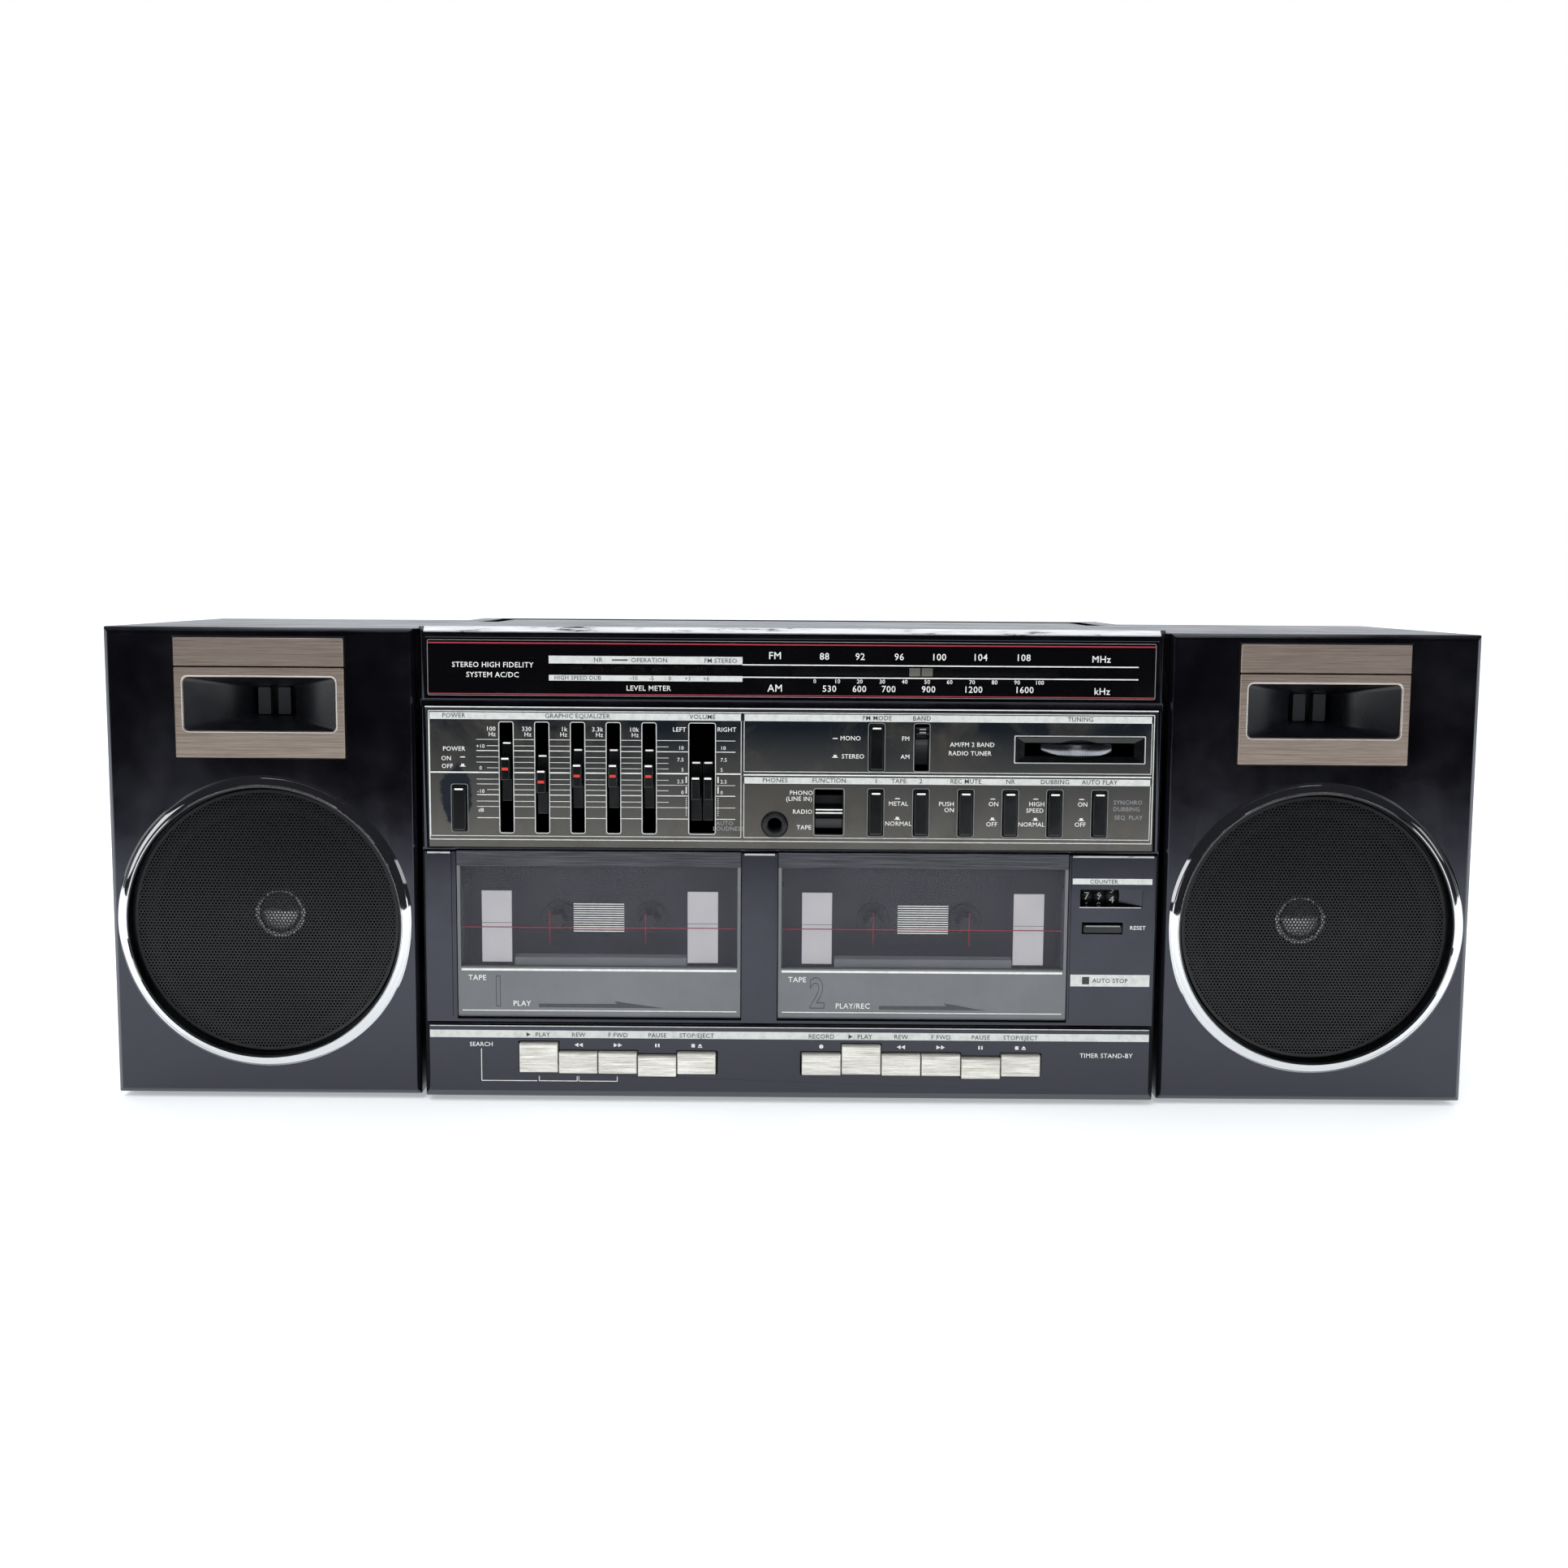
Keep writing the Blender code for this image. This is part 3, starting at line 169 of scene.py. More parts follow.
def moulded(name, colour, worn, roughness, grain, depth, sockets=None):
    """Moulded plastic: a grain of that many mm, clouds of dust 60 mm wide, and shinier rubbed places."""
    made, tree, shader = finish(name, colour, roughness, sockets)
    at = put(tree, "TexCoord").outputs["Object"]
    fine = put(tree, "TexNoise", {"Vector": at, "Scale": 1000 / grain, "Detail": 2})
    dust = put(tree, "TexNoise", {"Vector": at, "Scale": 1000 / 60, "Detail": 9, "Roughness": 0.68})
    dusty = put(tree, "MapRange", {0: dust.outputs[0], 1: 0.48, 2: 0.86})
    speck = put(tree, "TexNoise", {"Vector": at, "Scale": 1000 / 1.7, "Detail": 1})
    specks = put(tree, "MapRange", {0: speck.outputs[0], 1: 0.74, 2: 0.8, 4: 0.35})
    pale = put(tree, "Math", {0: dusty.outputs[0], 1: specks.outputs[0]}, operation="MAXIMUM")
    tone = put(tree, "Mix", {0: pale.outputs[0], 6: rgb(colour), 7: rgb(worn)}, data_type="RGBA")
    rub = put(tree,
              "MapRange", {0: dust.outputs[0], 1: 0.3, 2: 0.75, 3: roughness - 0.07, 4: roughness + 0.13})
    bump = put(tree, "Bump", {"Strength": 0.35, "Distance": depth * MM, "Height": fine.outputs[0]})
    for socket, output in (("Base Color", tone.outputs[2]), ("Roughness", rub.outputs[0]),
                           ("Normal", bump.outputs[0])):
        tree.links.new(output, shader.inputs[socket])
    return made


def softened(node, width, material, segments=2):
    """A CAD node's shape as one joined skin, with its sharp edges rounded by width mm."""
    shape = bmesh.new()
    shape.from_mesh(frame["nodes"][node].data)
    bmesh.ops.remove_doubles(shape, verts=shape.verts, dist=0.002 * MM)
    bmesh.ops.dissolve_degenerate(shape, edges=shape.edges, dist=0.002 * MM)
    mesh = bpy.data.meshes.new(node + "_moulding")
    shape.to_mesh(mesh)
    shape.free()
    made = placed(node + "_moulding", mesh, material, True)
    if width:
        rounding = made.modifiers.new("rounding", "BEVEL")
        rounding.width = width * MM
        rounding.segments = segments
        rounding.limit_method = "ANGLE"
        rounding.angle_limit = SHARP
        rounding.use_clamp_overlap = False
        rounding.harden_normals = True
        flatness = made.modifiers.new("flatness", "WEIGHTED_NORMAL")
        flatness.weight = 100
        flatness.keep_sharp = True
    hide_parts(node)
    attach(made, body_of_node(node))
    return made


def body_of_node(node):
    """The body that the record gives a CAD node."""
    bodies = frame["record"]["behaviour"]["bodies"]
    return next(body for body, nodes in bodies.items() if node in nodes)


BLUISH = {"Specular IOR Level": 0.85, "Specular Tint": rgb("eaebff")}
black_abs = moulded("satin_black_abs", "020203", "09090c", 0.17, 0.5, 0.008, BLUISH)
softened("front_frame", 0.35, black_abs)
softened("rear_shell", 0.4, black_abs)
for side in ("left", "right"):
    softened(f"speaker_front_{side}", 0.5, black_abs)
    softened(f"speaker_cabinet_{side}", 0.5, black_abs)

# ---- printing: what every screen-printed mark on the set shares ---------------------------------
# Legends, scales and lines are silk-screened in opaque ink, a few hundredths of a millimetre thick.
# Each layer of print is one piece, which rides with the part that it is printed on.
INK = 0.05
CAPITAL = 0.682


def printed_ink(name, colour, metal=0.0):
    """Screen-printing ink: matt, a little uneven in tone where the squeegee left it thin."""
    made, tree, shader = finish(name, colour, 0.5, {"Metallic": metal})
    at = put(tree, "TexCoord").outputs["Object"]
    thin = put(tree, "TexNoise", {"Vector": at, "Scale": 1000 / 3, "Detail": 6, "Roughness": 0.7})
    held = put(tree, "MapRange", {0: thin.outputs[0], 1: 0.3, 2: 0.55, 3: 0.78, 4: 1.0})
    tone = put(tree, "Mix", {0: 1.0, 6: rgb(colour), 7: held.outputs[0]}, data_type="RGBA",
               blend_type="MULTIPLY")
    tree.links.new(tone.outputs[2], shader.inputs["Base Color"])
    return made


def slabs(outlines, front, back):
    """Points and faces of flat plates. Each outline of (x, z) points is swept from front to back."""
    points, faces = [], []
    for outline in outlines:
        xz = np.asarray(outline, float)
        n, first = len(xz), sum(map(len, points))
        for y in (front, back):
            points.append(np.insert(xz, 1, y, axis=1))
        a = np.arange(n)
        b = (a + 1) % n
        faces += [(a + first).tolist(), (a[::-1] + first + n).tolist()]
        faces += (np.stack([a, a + n, b + n, b], axis=1) + first).tolist()
    return np.concatenate(points), faces


def oblong(left, right, bottom, top, radius=0.0, steps=5):
    """The outline of a rectangle, its corners rounded by quarter circles of that radius."""
    if not radius:
        return np.array([(left, bottom), (right, bottom), (right, top), (left, top)], float)
    centres = [(right - radius, bottom + radius), (right - radius, top - radius),
               (left + radius, top - radius), (left + radius, bottom + radius)]
    turns = np.concatenate([np.linspace(a, a + 90, steps) for a in (-90, 0, 90, 180)])
    arms = radius * np.stack([np.cos(np.radians(turns)), np.sin(np.radians(turns))], axis=1)
    return np.repeat(centres, steps, axis=0) + arms


def border(left, right, bottom, top, radius, width):
    """The strip of that width just inside a rounded rectangle, as one outline for each part of it."""
    outer = oblong(left, right, bottom, top, radius)
    inner = oblong(left + width, right - width, bottom + width, top - width, max(radius - width, 0.01))
    following = np.roll(np.arange(len(outer)), -1)
    return list(np.stack([outer, outer[following], inner[following], inner], axis=1))


def type_case():
    """A text object to cast words from."""
    text = bpy.data.objects.new("type", bpy.data.curves.new("type", "FONT"))
    bpy.context.scene.collection.objects.link(text)
    text.data.align_x = "CENTER"
    return text


def cast(text, word):
    """The mesh of a word, in the size and weight that the text object now has."""
    text.data.body = word
    bpy.context.view_layer.update()
    return bpy.data.meshes.new_from_object(text.evaluated_get(bpy.context.evaluated_depsgraph_get()))


def printed(name, body, ink, face, words=(), bars=(), shapes=(), up=INK):
    """One layer of print on a face at that depth, standing up mm proud of it. Words are (text, x, z,
    capital height, and perhaps LEFT or RIGHT), bars (left, right, bottom, top), shapes (x, z) outlines."""
    layer = bmesh.new()
    text = type_case()
    text.data.resolution_u = 2
    text.data.extrude = up * MM
    text.data.space_character = 1.06
    for word, x, z, capital, *side in words:
        text.data.size = capital / CAPITAL * MM
        text.data.offset = 0.008 * capital * MM
        text.data.align_x = side[0] if side else "CENTER"
        glyphs = cast(text, word)
        at = Matrix.Translation((x * MM, face * MM, (z - capital / 2) * MM))
        glyphs.transform(at @ Matrix.Rotation(math.pi / 2, 4, "X"))
        layer.from_mesh(glyphs)
        bpy.data.meshes.remove(glyphs)
    bpy.data.objects.remove(text)
    outlines = [oblong(*bar) for bar in bars] + list(shapes)
    if outlines:
        plates = bpy.data.meshes.new("plates")
        points, faces = slabs(outlines, face - up, face + up)
        plates.from_pydata((points * MM).tolist(), [], faces)
        layer.from_mesh(plates)
        bpy.data.meshes.remove(plates)
    bmesh.ops.recalc_face_normals(layer, faces=layer.faces)
    mesh = bpy.data.meshes.new(name)
    layer.to_mesh(mesh)
    layer.free()
    made = placed(name, mesh, ink)
    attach(made, body)
    return made


def corners(node):
    """Lowest and highest corner of a CAD node at rest, in mm."""
    low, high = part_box(node)
    return np.array(low) / MM, np.array(high) / MM


FACE = corners("control_panel")[0][1]
white_ink = printed_ink("white_screen_ink", "e4e6e2")
grey_ink = printed_ink("grey_screen_ink", "8c8f90")
# This silver ink also paints highlights on two lips of the front moulding.
silver_ink_and_painted_highlight = printed_ink("silver_screen_ink_and_painted_highlight", "cfd2cf")
dark_ink = printed_ink("charcoal_screen_ink", "33373a")
red_ink = printed_ink("red_screen_ink", "a02c3c")

# ---- tuning dial and level meter ----------------------------------------------------------------
# One strip of clear acrylic runs across the set. It is printed black from behind, except for two
# windows: one over the row of meter lights, one over the pointer, which slides along a pale guide.
acrylic, tree, shader = finish("back_printed_black_acrylic", "050507", 0.09,
                               {"IOR": 1.49, "Coat Weight": 0.4, "Coat Roughness": 0.04})
at = put(tree, "TexCoord").outputs["Object"]
smears = put(tree, "TexNoise", {"Vector": at, "Scale": 1000 / 45, "Detail": 10, "Roughness": 0.72})
hazy = put(tree, "MapRange", {0: smears.outputs[0], 1: 0.42, 2: 0.8, 3: 0.07, 4: 0.3})
tree.links.new(hazy.outputs[0], shader.inputs["Roughness"])
hair = put(tree, "Mapping", {"Vector": at, "Scale": (40, 40, 900), "Rotation": (0, 0.5, 0)})
hairs = put(tree, "TexNoise", {"Vector": hair.outputs[0], "Scale": 1.0, "Detail": 2})
scratch = put(tree, "MapRange", {0: hairs.outputs[0], 1: 0.74, 2: 0.78, 4: 0.12})
tone = put(tree, "Mix", {0: scratch.outputs[0], 6: rgb("050507"), 7: rgb("8a8d92")}, data_type="RGBA")
tree.links.new(tone.outputs[2], shader.inputs["Base Color"])
clear = finish("clear_acrylic", "2a2b2e", 0.04, {"IOR": 1.49, "Alpha": 0.1})[0]

lens_low, lens_high = corners("dial_lens")
METER_WINDOW = (-104.3, -26.5, 196.0, 199.2)
POINTER_WINDOW = (0.1, 119.2, 195.4, 199.4)
lens_x = np.unique([lens_low[0], lens_high[0], *METER_WINDOW[:2], *POINTER_WINDOW[:2]])
lens_z = np.unique([lens_low[2], lens_high[2], METER_WINDOW[2], METER_WINDOW[3], POINTER_WINDOW[2]])


def blocks(xs, zs, front, back, kept):
    """Plates between neighbouring x and z lines, each made if kept(x, z) holds at its middle."""
    middle = [(a, b, c, d) for a, b in zip(xs, xs[1:]) for c, d in zip(zs, zs[1:])]
    return slabs([oblong(*m) for m in middle if kept((m[0] + m[1]) / 2, (m[2] + m[3]) / 2)], front, back)


def inside(window, x, z):
    """True where a point lies in a window given as left, right, bottom, top."""
    return window[0] < x < window[1] and window[2] < z < window[3]


WINDOWS = (METER_WINDOW, POINTER_WINDOW)
strip = blocks(lens_x, lens_z, lens_low[1], lens_high[1],
               lambda x, z: not any(inside(w, x, z) for w in WINDOWS))
lens = piece("dial_strip", *strip, acrylic)
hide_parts("dial_lens")
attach(lens, "unit")
panes = slabs([oblong(*w) for w in WINDOWS], lens_low[1] + 0.3, lens_high[1] - 0.3)
panes = piece("dial_windows", *panes, clear)
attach(panes, "unit")

# Behind the windows: a dark card, seven dim red lamps in the meter, and the pale rail of the pointer.
card_black = moulded("black_card", "131417", "2b2c30", 0.7, 0.8, 0.02)
CARD_DEPTH = FACE + 10.7
card = piece("dial_card", *slabs([oblong(-112, 126, 188, 207)], CARD_DEPTH, CARD_DEPTH + 0.8), card_black)
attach(card, "unit")
rail_grey = moulded("grey_rail_plastic", "4c4e50", "787a7c", 0.5, 0.8, 0.02)
rail = slabs([oblong(-1, 121, 195.3, 199.6)], CARD_DEPTH - 0.5, CARD_DEPTH)
rail = piece("pointer_rail", *rail, rail_grey)
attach(rail, "unit")
lamp_red = finish("unlit_red_lamp", "2a0d12", 0.25, {"IOR": 1.5})[0]
LAMP_PITCH = 9.2
lamps = [oblong(-99 + k * LAMP_PITCH, -93 + k * LAMP_PITCH, 196.3, 198.9, 1.0) for k in range(8)]
meter = piece("meter_lamps", *slabs(lamps, FACE + 4.6, CARD_DEPTH), lamp_red)
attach(meter, "unit")

pointer_white = moulded("ivory_pointer_plastic", "b9b8ad", "8c8a80", 0.4, 0.9, 0.01)
softened("dial_pointer", 0.2, pointer_white)
pointer_low, pointer_high = corners("dial_pointer")
needle_x = (pointer_low[0] + pointer_high[0]) / 2
needle = (needle_x - 0.35, needle_x + 0.35, pointer_low[2] + 0.1, pointer_high[2] - 0.1)
printed("pointer_line", "dial_pointer", dark_ink, pointer_low[1], bars=[needle])

TITLE, SCALE, SMALL = 3.1, 2.9, 1.75
FM_STATIONS = {"88": 14.4, "92": 30.2, "96": 47.5, "100": 65.1, "104": 83.4, "108": 102.5}
AM_STATIONS = {"530": 16.7, "600": 30.0, "700": 43.0, "900": 60.7, "1200": 80.5, "1600": 103.2}
dial_words = [("FM", -7.5, 204.4, TITLE), ("MHz", 137.0, 203.7, SCALE), ("AM", -7.4, 190.0, TITLE),
              ("kHz", 137.7, 189.5, SCALE)]
dial_words += [(n, x, 204.2, SCALE) for n, x in FM_STATIONS.items()]
dial_words += [(n, x, 189.9, 2.75) for n, x in AM_STATIONS.items()]
dial_words += [(str(n), 10.2 + n * 0.997, 193.2, SMALL) for n in range(0, 101, 10)]
dial_words += [("STEREO HIGH FIDELITY", -132.7, 199.6, 2.25), ("SYSTEM AC/DC", -132.8, 195.2, 2.25)]
dial_words += [("LEVEL METER", -63.6, 189.6, 2.2)]
RULES = [(-21.9, 153.6, 200.0, 200.5), (-21.9, 153.6, 194.5, 195.0)]
printed("dial_legends", "unit", white_ink, FACE, dial_words, RULES)
printed("meter_strips", "unit", silver_ink_and_painted_highlight, FACE,
        bars=[(-107.8, -21.9, 200.3, 203.7), (-107.8, -21.9, 192.7, 195.2)])
METER_MARKS = {"-10": -70.1, "-5": -62.2, "0": -54.1, "+3": -46.2, "+6": -38.0}
strip_words = [(w, x, 202.0, 1.9) for w, x in (("NR", -85.9), ("OPERATION", -63.2), ("FM STEREO", -31.6))]
strip_words += [("HIGH SPEED DUB", -95.0, 194.0, 1.75)]
strip_words += [(n, x, 194.0, 1.7) for n, x in METER_MARKS.items()]
printed("meter_legends", "unit", dark_ink, FACE - INK, strip_words, [(-79.8, -72.8, 201.7, 202.3)])
red_lines = [(lens_low[0] + 0.4, lens_high[0] - 1.0, 208.9, 209.5),
             (lens_low[0] + 0.6, lens_high[0] - 1.0, 186.5, 186.9)]
printed("dial_red_lines", "unit", red_ink, FACE, bars=red_lines)
dial_frame = border(lens_low[0] + 0.3, lens_high[0] - 0.7, 185.9, 210.6, 0.8, 0.22)
printed("dial_frame_line", "unit", grey_ink, FACE, shapes=dial_frame)

# ---- control panel ------------------------------------------------------------------------------
# A thin aluminium panel, sprayed gunmetal and clipped into the front. Handling has left brown smears
# on it, and the varnish round the power button has been rubbed down to a dark blot. Its colour also
# holds painted reflection: dark blue-grey at the top, lighter grey towards the bottom, as it would
# mirror the dim room above and the bright table below.
gunmetal, tree, shader = finish("gunmetal_sprayed_aluminium", "3c4146", 0.42, {"Metallic": 0.55})
at = put(tree, "TexCoord").outputs["Object"]
CLOUDS = {"Scale": 1000 / 34, "Detail": 8, "Roughness": 0.66, "Distortion": 0.5}
smear = put(tree, "TexNoise", {"Vector": at, **CLOUDS})
smeared = put(tree, "MapRange", {0: smear.outputs[0], 1: 0.47, 2: 0.72, 4: 0.8})
spread = put(tree, "SeparateXYZ", {0: at})
# Painted reflection: the base tone runs from dark blue-grey at the top of the panel to lighter grey at the
# bottom.
height = put(tree, "MapRange", {0: spread.outputs["Z"], 1: 0.172, 2: 0.125})
painted_reflection_grade = put(tree, "Mix", {0: height.outputs[0], 6: rgb("0c151f"), 7: rgb("64625e")}, data_type="RGBA")
smears_on_painted_reflection = put(tree, "Mix", {0: smeared.outputs[0], 6: painted_reflection_grade.outputs[2], 7: rgb("514d46")}, data_type="RGBA")
BLOT = (-0.1495, -0.09, 0.1415)
blot = put(tree, "Mapping", {"Vector": at, "Location": tuple(-c for c in BLOT)})
blot = put(tree, "Mapping", {"Vector": blot.outputs[0], "Scale": (1 / 0.0085, 0, 1 / 0.0145)})
ragged = put(tree, "TexNoise", {"Vector": at, "Scale": 1000 / 7, "Detail": 5})
reach = put(tree, "VectorMath", {0: blot.outputs[0]}, operation="LENGTH")
reach = put(tree, "Math", {0: reach.outputs["Value"], 1: ragged.outputs[0]}, operation="ADD")
blotted = put(tree, "MapRange", {0: reach.outputs[0], 1: 1.42, 2: 1.3})
tone = put(tree, "Mix", {0: blotted.outputs[0], 6: smears_on_painted_reflection.outputs[2], 7: rgb("1c222c")}, data_type="RGBA")
tree.links.new(tone.outputs[2], shader.inputs["Base Color"])
fleck = put(tree, "TexNoise", {"Vector": at, "Scale": 1000 / 0.35, "Detail": 1})
gloss = put(tree, "MapRange", {0: smear.outputs[0], 1: 0.35, 2: 0.7, 3: 0.36, 4: 0.56})
tree.links.new(gloss.outputs[0], shader.inputs["Roughness"])
bump = put(tree, "Bump", {"Strength": 0.25, "Distance": 0.01 * MM, "Height": fleck.outputs[0]})
tree.links.new(bump.outputs[0], shader.inputs["Normal"])
softened("control_panel", 0.12, gunmetal, segments=1)

panel_low, panel_high = corners("control_panel")
EQ_X = [(corners(f"eq_slider_{k}")[0][0] + corners(f"eq_slider_{k}")[1][0]) / 2 for k in range(1, 6)]
SLOT_HALF, SLOT_Z = 3.0, (124.5, 174.0)
VOLUME_SLOT = (-45.5, -34.0)
HEAD, LEGEND, TINY = 1.95, 1.9, 1.6
UPPER_BAND, LOWER_BAND = (175.3, 178.7), (147.3, 150.5)
heads = [("POWER", -150.3), ("GRAPHIC EQUALIZER", -95.2), ("VOLUME", -39.6), ("FM MODE", 38.1),
         ("BAND", 58.0), ("TUNING", 128.5)]
lower_heads = [("PHONES", -7.2), ("FUNCTION", 17.0), ("1", 38.0), ("TAPE", 48.1), ("2", 57.9),
               ("REC MUTE", 78.0), ("NR", 97.9), ("DUBBING", 117.8), ("AUTO PLAY", 137.7)]
LEFT_EDGE, DIVIDER, RIGHT_EDGE = -161.4, (-22.2, -21.2), 160.6
bands = [(LEFT_EDGE, DIVIDER[0], *UPPER_BAND), (DIVIDER[1], RIGHT_EDGE, *UPPER_BAND),
         (DIVIDER[1], RIGHT_EDGE, *LOWER_BAND)]
printed("panel_bands", "unit", silver_ink_and_painted_highlight, FACE, bars=bands)
headings = [(word, x, 177.0, HEAD) for word, x in heads]
headings += [(word, x, 148.9, HEAD) for word, x in lower_heads]
printed("panel_headings", "unit", dark_ink, FACE - INK, headings)
LINE = 0.3
frames = border(LEFT_EDGE, DIVIDER[0], 122.8, UPPER_BAND[1], 0.3, LINE)
frames += border(DIVIDER[1], RIGHT_EDGE, 152.5, UPPER_BAND[1], 0.3, LINE)
frames += border(DIVIDER[1], RIGHT_EDGE, 122.8, LOWER_BAND[1], 0.3, LINE)
frames += border(panel_low[0] + 0.2, panel_high[0] - 0.4, 121.1, 179.2, 0.4, 0.4)
frames += border(99.3, 157.8, 157.1, 169.6, 0.5, 0.45)
for x in EQ_X:
    frames += border(x - SLOT_HALF - 0.4, x + SLOT_HALF + 0.4, SLOT_Z[0] - 0.4, SLOT_Z[1] + 0.4, 1.2, 0.35)
frames += border(VOLUME_SLOT[0] - 0.4, VOLUME_SLOT[1] + 0.4, SLOT_Z[0] - 0.4, SLOT_Z[1] + 0.4, 1.2, 0.35)
printed("panel_frames", "unit", silver_ink_and_painted_highlight, FACE, shapes=frames)

LONG, SHORT = VOLUME_SLOT[0] - 0.1, -54.7
SCALE_LINES = ((166.3, LONG, 0.22), (163.5, SHORT, 0.22), (161.3, LONG, 0.36), (158.5, SHORT, 0.22),
               (156.1, SHORT, 0.22), (153.6, SHORT, 0.22), (148.5, SHORT, 0.22), (146.3, LONG, 0.22),
               (143.8, SHORT, 0.22), (141.5, LONG, 0.36), (138.6, SHORT, 0.22), (136.2, LONG, 0.22),
               (131.1, LONG, 0.3))
MIDDLE_LINE = 151.5
edges = [-140.4] + [x + side * (SLOT_HALF + 0.45) for x in EQ_X for side in (-1, 1)]
scale_bars = []
for z, end, width in SCALE_LINES:
    starts = [edges[0] + (4.7 if round(z, 1) in (163.5, 153.6, 143.8) else 0)] + edges[2::2]
    stops = edges[1::2] + [end]
    scale_bars += [(a, b, z - width / 2, z + width / 2) for a, b in zip(starts, stops)]
    if end == LONG:
        scale_bars.append((VOLUME_SLOT[1] + 0.5, -24.9, z - width / 2, z + width / 2))
middle_starts = [LEFT_EDGE] + edges[2::2] + [VOLUME_SLOT[1] + 0.5]
middle_stops = edges[1::2] + [VOLUME_SLOT[0] - 0.5, DIVIDER[0]]
scale_bars += [(a, b, MIDDLE_LINE - 0.3, MIDDLE_LINE + 0.3) for a, b in zip(middle_starts, middle_stops)]
scale_bars += [(DIVIDER[1], RIGHT_EDGE, 150.9, 151.5)]
for x in (-46.8, -32.6):
    scale_bars += [(x - 0.3, x + 0.3, 147.4, 150.2), (x - 0.3, x + 0.3, 142.6, 145.7)]
    scale_bars += [(x - 0.2, x + 0.2, z, z + 0.4) for z in np.arange(132.6, 141, 0.95)]

legends = [("POWER", -150.4, 162.1), ("ON", -153.9, 157.8), ("OFF", -153.5, 154.3), ("LEFT", -49.9, 171.3),
           ("RIGHT", -28.8, 171.4), ("MONO", 26.3, 167.9), ("STEREO", 27.5, 159.8), ("FM", 50.9, 167.9),
           ("AM", 50.8, 159.8), ("AM/FM 2 BAND", 80.6, 165.4), ("RADIO TUNER", 79.6, 161.5),
           ("PHONO", 4.6, 143.3), ("(LINE IN)", 3.6, 140.6), ("RADIO", 5.2, 134.8),
           ("TAPE", 5.9, 127.7), ("METAL", 48.0, 138.7),
           ("NORMAL", 48.1, 129.7), ("PUSH", 69.5, 138.7), ("ON", 70.8, 136.0), ("ON", 90.6, 138.8),
           ("OFF", 89.9, 129.7), ("HIGH", 109.9, 138.9), ("SPEED", 109.1, 136.0), ("NORMAL", 107.7, 129.7),
           ("ON", 130.4, 138.9), ("OFF", 129.5, 129.8)]
words = [(word, x, z, LEGEND) for word, x, z in legends]
DECIBELS = {"+10": 163.3, "0": 153.5, "-10": 143.1, "dB": 134.6}
words += [(word, -138.6, z, TINY) for word, z in DECIBELS.items()]
for x, tone_name in zip(EQ_X, ("100", "330", "1k", "3.3k", "10k")):
    words += [(tone_name, x - 4.6, 171.1, LEGEND, "RIGHT"), ("Hz", x - 4.6, 168.7, LEGEND, "RIGHT")]
for level, z in zip(("10", "7.5", "5", "2.5", "0"), (163.1, 157.8, 153.3, 148.0, 143.1)):
    words += [(level, -47.9, z, TINY, "RIGHT"), (level, -31.6, z, TINY, "LEFT")]


def pressed_sign(x, z):
    """The sign for a button that is in: a low bar with sloping ends."""
    return [[(x - 1.3, z), (x - 0.9, z - 0.05), (x + 0.9, z - 0.05), (x + 1.3, z), (x + 0.8, z + 0.4),
             (x - 0.8, z + 0.4)]]


def raised_sign(x, z):
    """The sign for a button that is out: a block standing on a thin bar."""
    return [oblong(x - 1.3, x + 1.3, z - 0.35, z - 0.05), oblong(x - 0.7, x + 0.7, z - 0.05, z + 0.9)]


signs = []
for x, z in ((-146.6, 158.2), (19.5, 167.6), (47.6, 140.8), (90.2, 140.9), (109.4, 141.0), (129.9, 141.0)):
    signs += pressed_sign(x, z)
for x, z in ((-146.6, 154.4), (19.5, 159.5), (47.6, 131.8), (90.2, 131.8), (109.4, 131.8), (129.9, 131.8)):
    signs += raised_sign(x, z)
printed("panel_legends", "unit", white_ink, FACE, words, scale_bars, signs)
faint = [("AUTO", -29.6, 129.3), ("LOUDNESS", -28.0, 126.9), ("SYNCHRO", 150.6, 139.9),
         ("DUBBING", 150.0, 136.9), ("SEQ. PLAY", 151.0, 133.1)]
printed("panel_faint_legends", "unit", grey_ink, FACE, [(word, x, z, 1.8) for word, x, z in faint])

# ---- push buttons, sliders and switches ---------------------------------------------------------
# Glossy black polystyrene caps on long stems. A white line filled into each cap marks its end, and
# the tone sliders carry a red line at their set point. Their carriers slide behind the panel.
gloss_black = moulded("glossy_black_polystyrene", "060708", "202227", 0.2, 1.2, 0.006)
mark_white = printed_ink("white_filling", "f2f2ee")
mark_red = printed_ink("red_filling", "d4382d")
PUSH_BUTTONS = ("power", "fm_mode", "tape_1_type", "tape_2_type", "rec_mute", "noise_reduction",
                "dubbing_speed", "auto_play")
slots = []
for button in [name + "_button" for name in PUSH_BUTTONS]:
    softened(button, 0.55, gloss_black, segments=3)
    low, high = corners(button)
    line = oblong(low[0] + 1.2, high[0] - 1.2, high[2] - 1.9, high[2] - 1.15, 0.2)
    printed(button + "_line", button, mark_white, low[1], shapes=[line])
    slots += border(low[0] - 0.75, high[0] + 0.75, low[2] - 0.75, high[2] + 0.75, 1.2, 0.3)
slots += border(54.4, 61.9, 152.9, 174.8, 1.2, 0.3) + border(10.0, 24.0, 123.9, 145.4, 1.2, 0.3)
printed("button_slot_rims", "unit", grey_ink, FACE, shapes=slots)

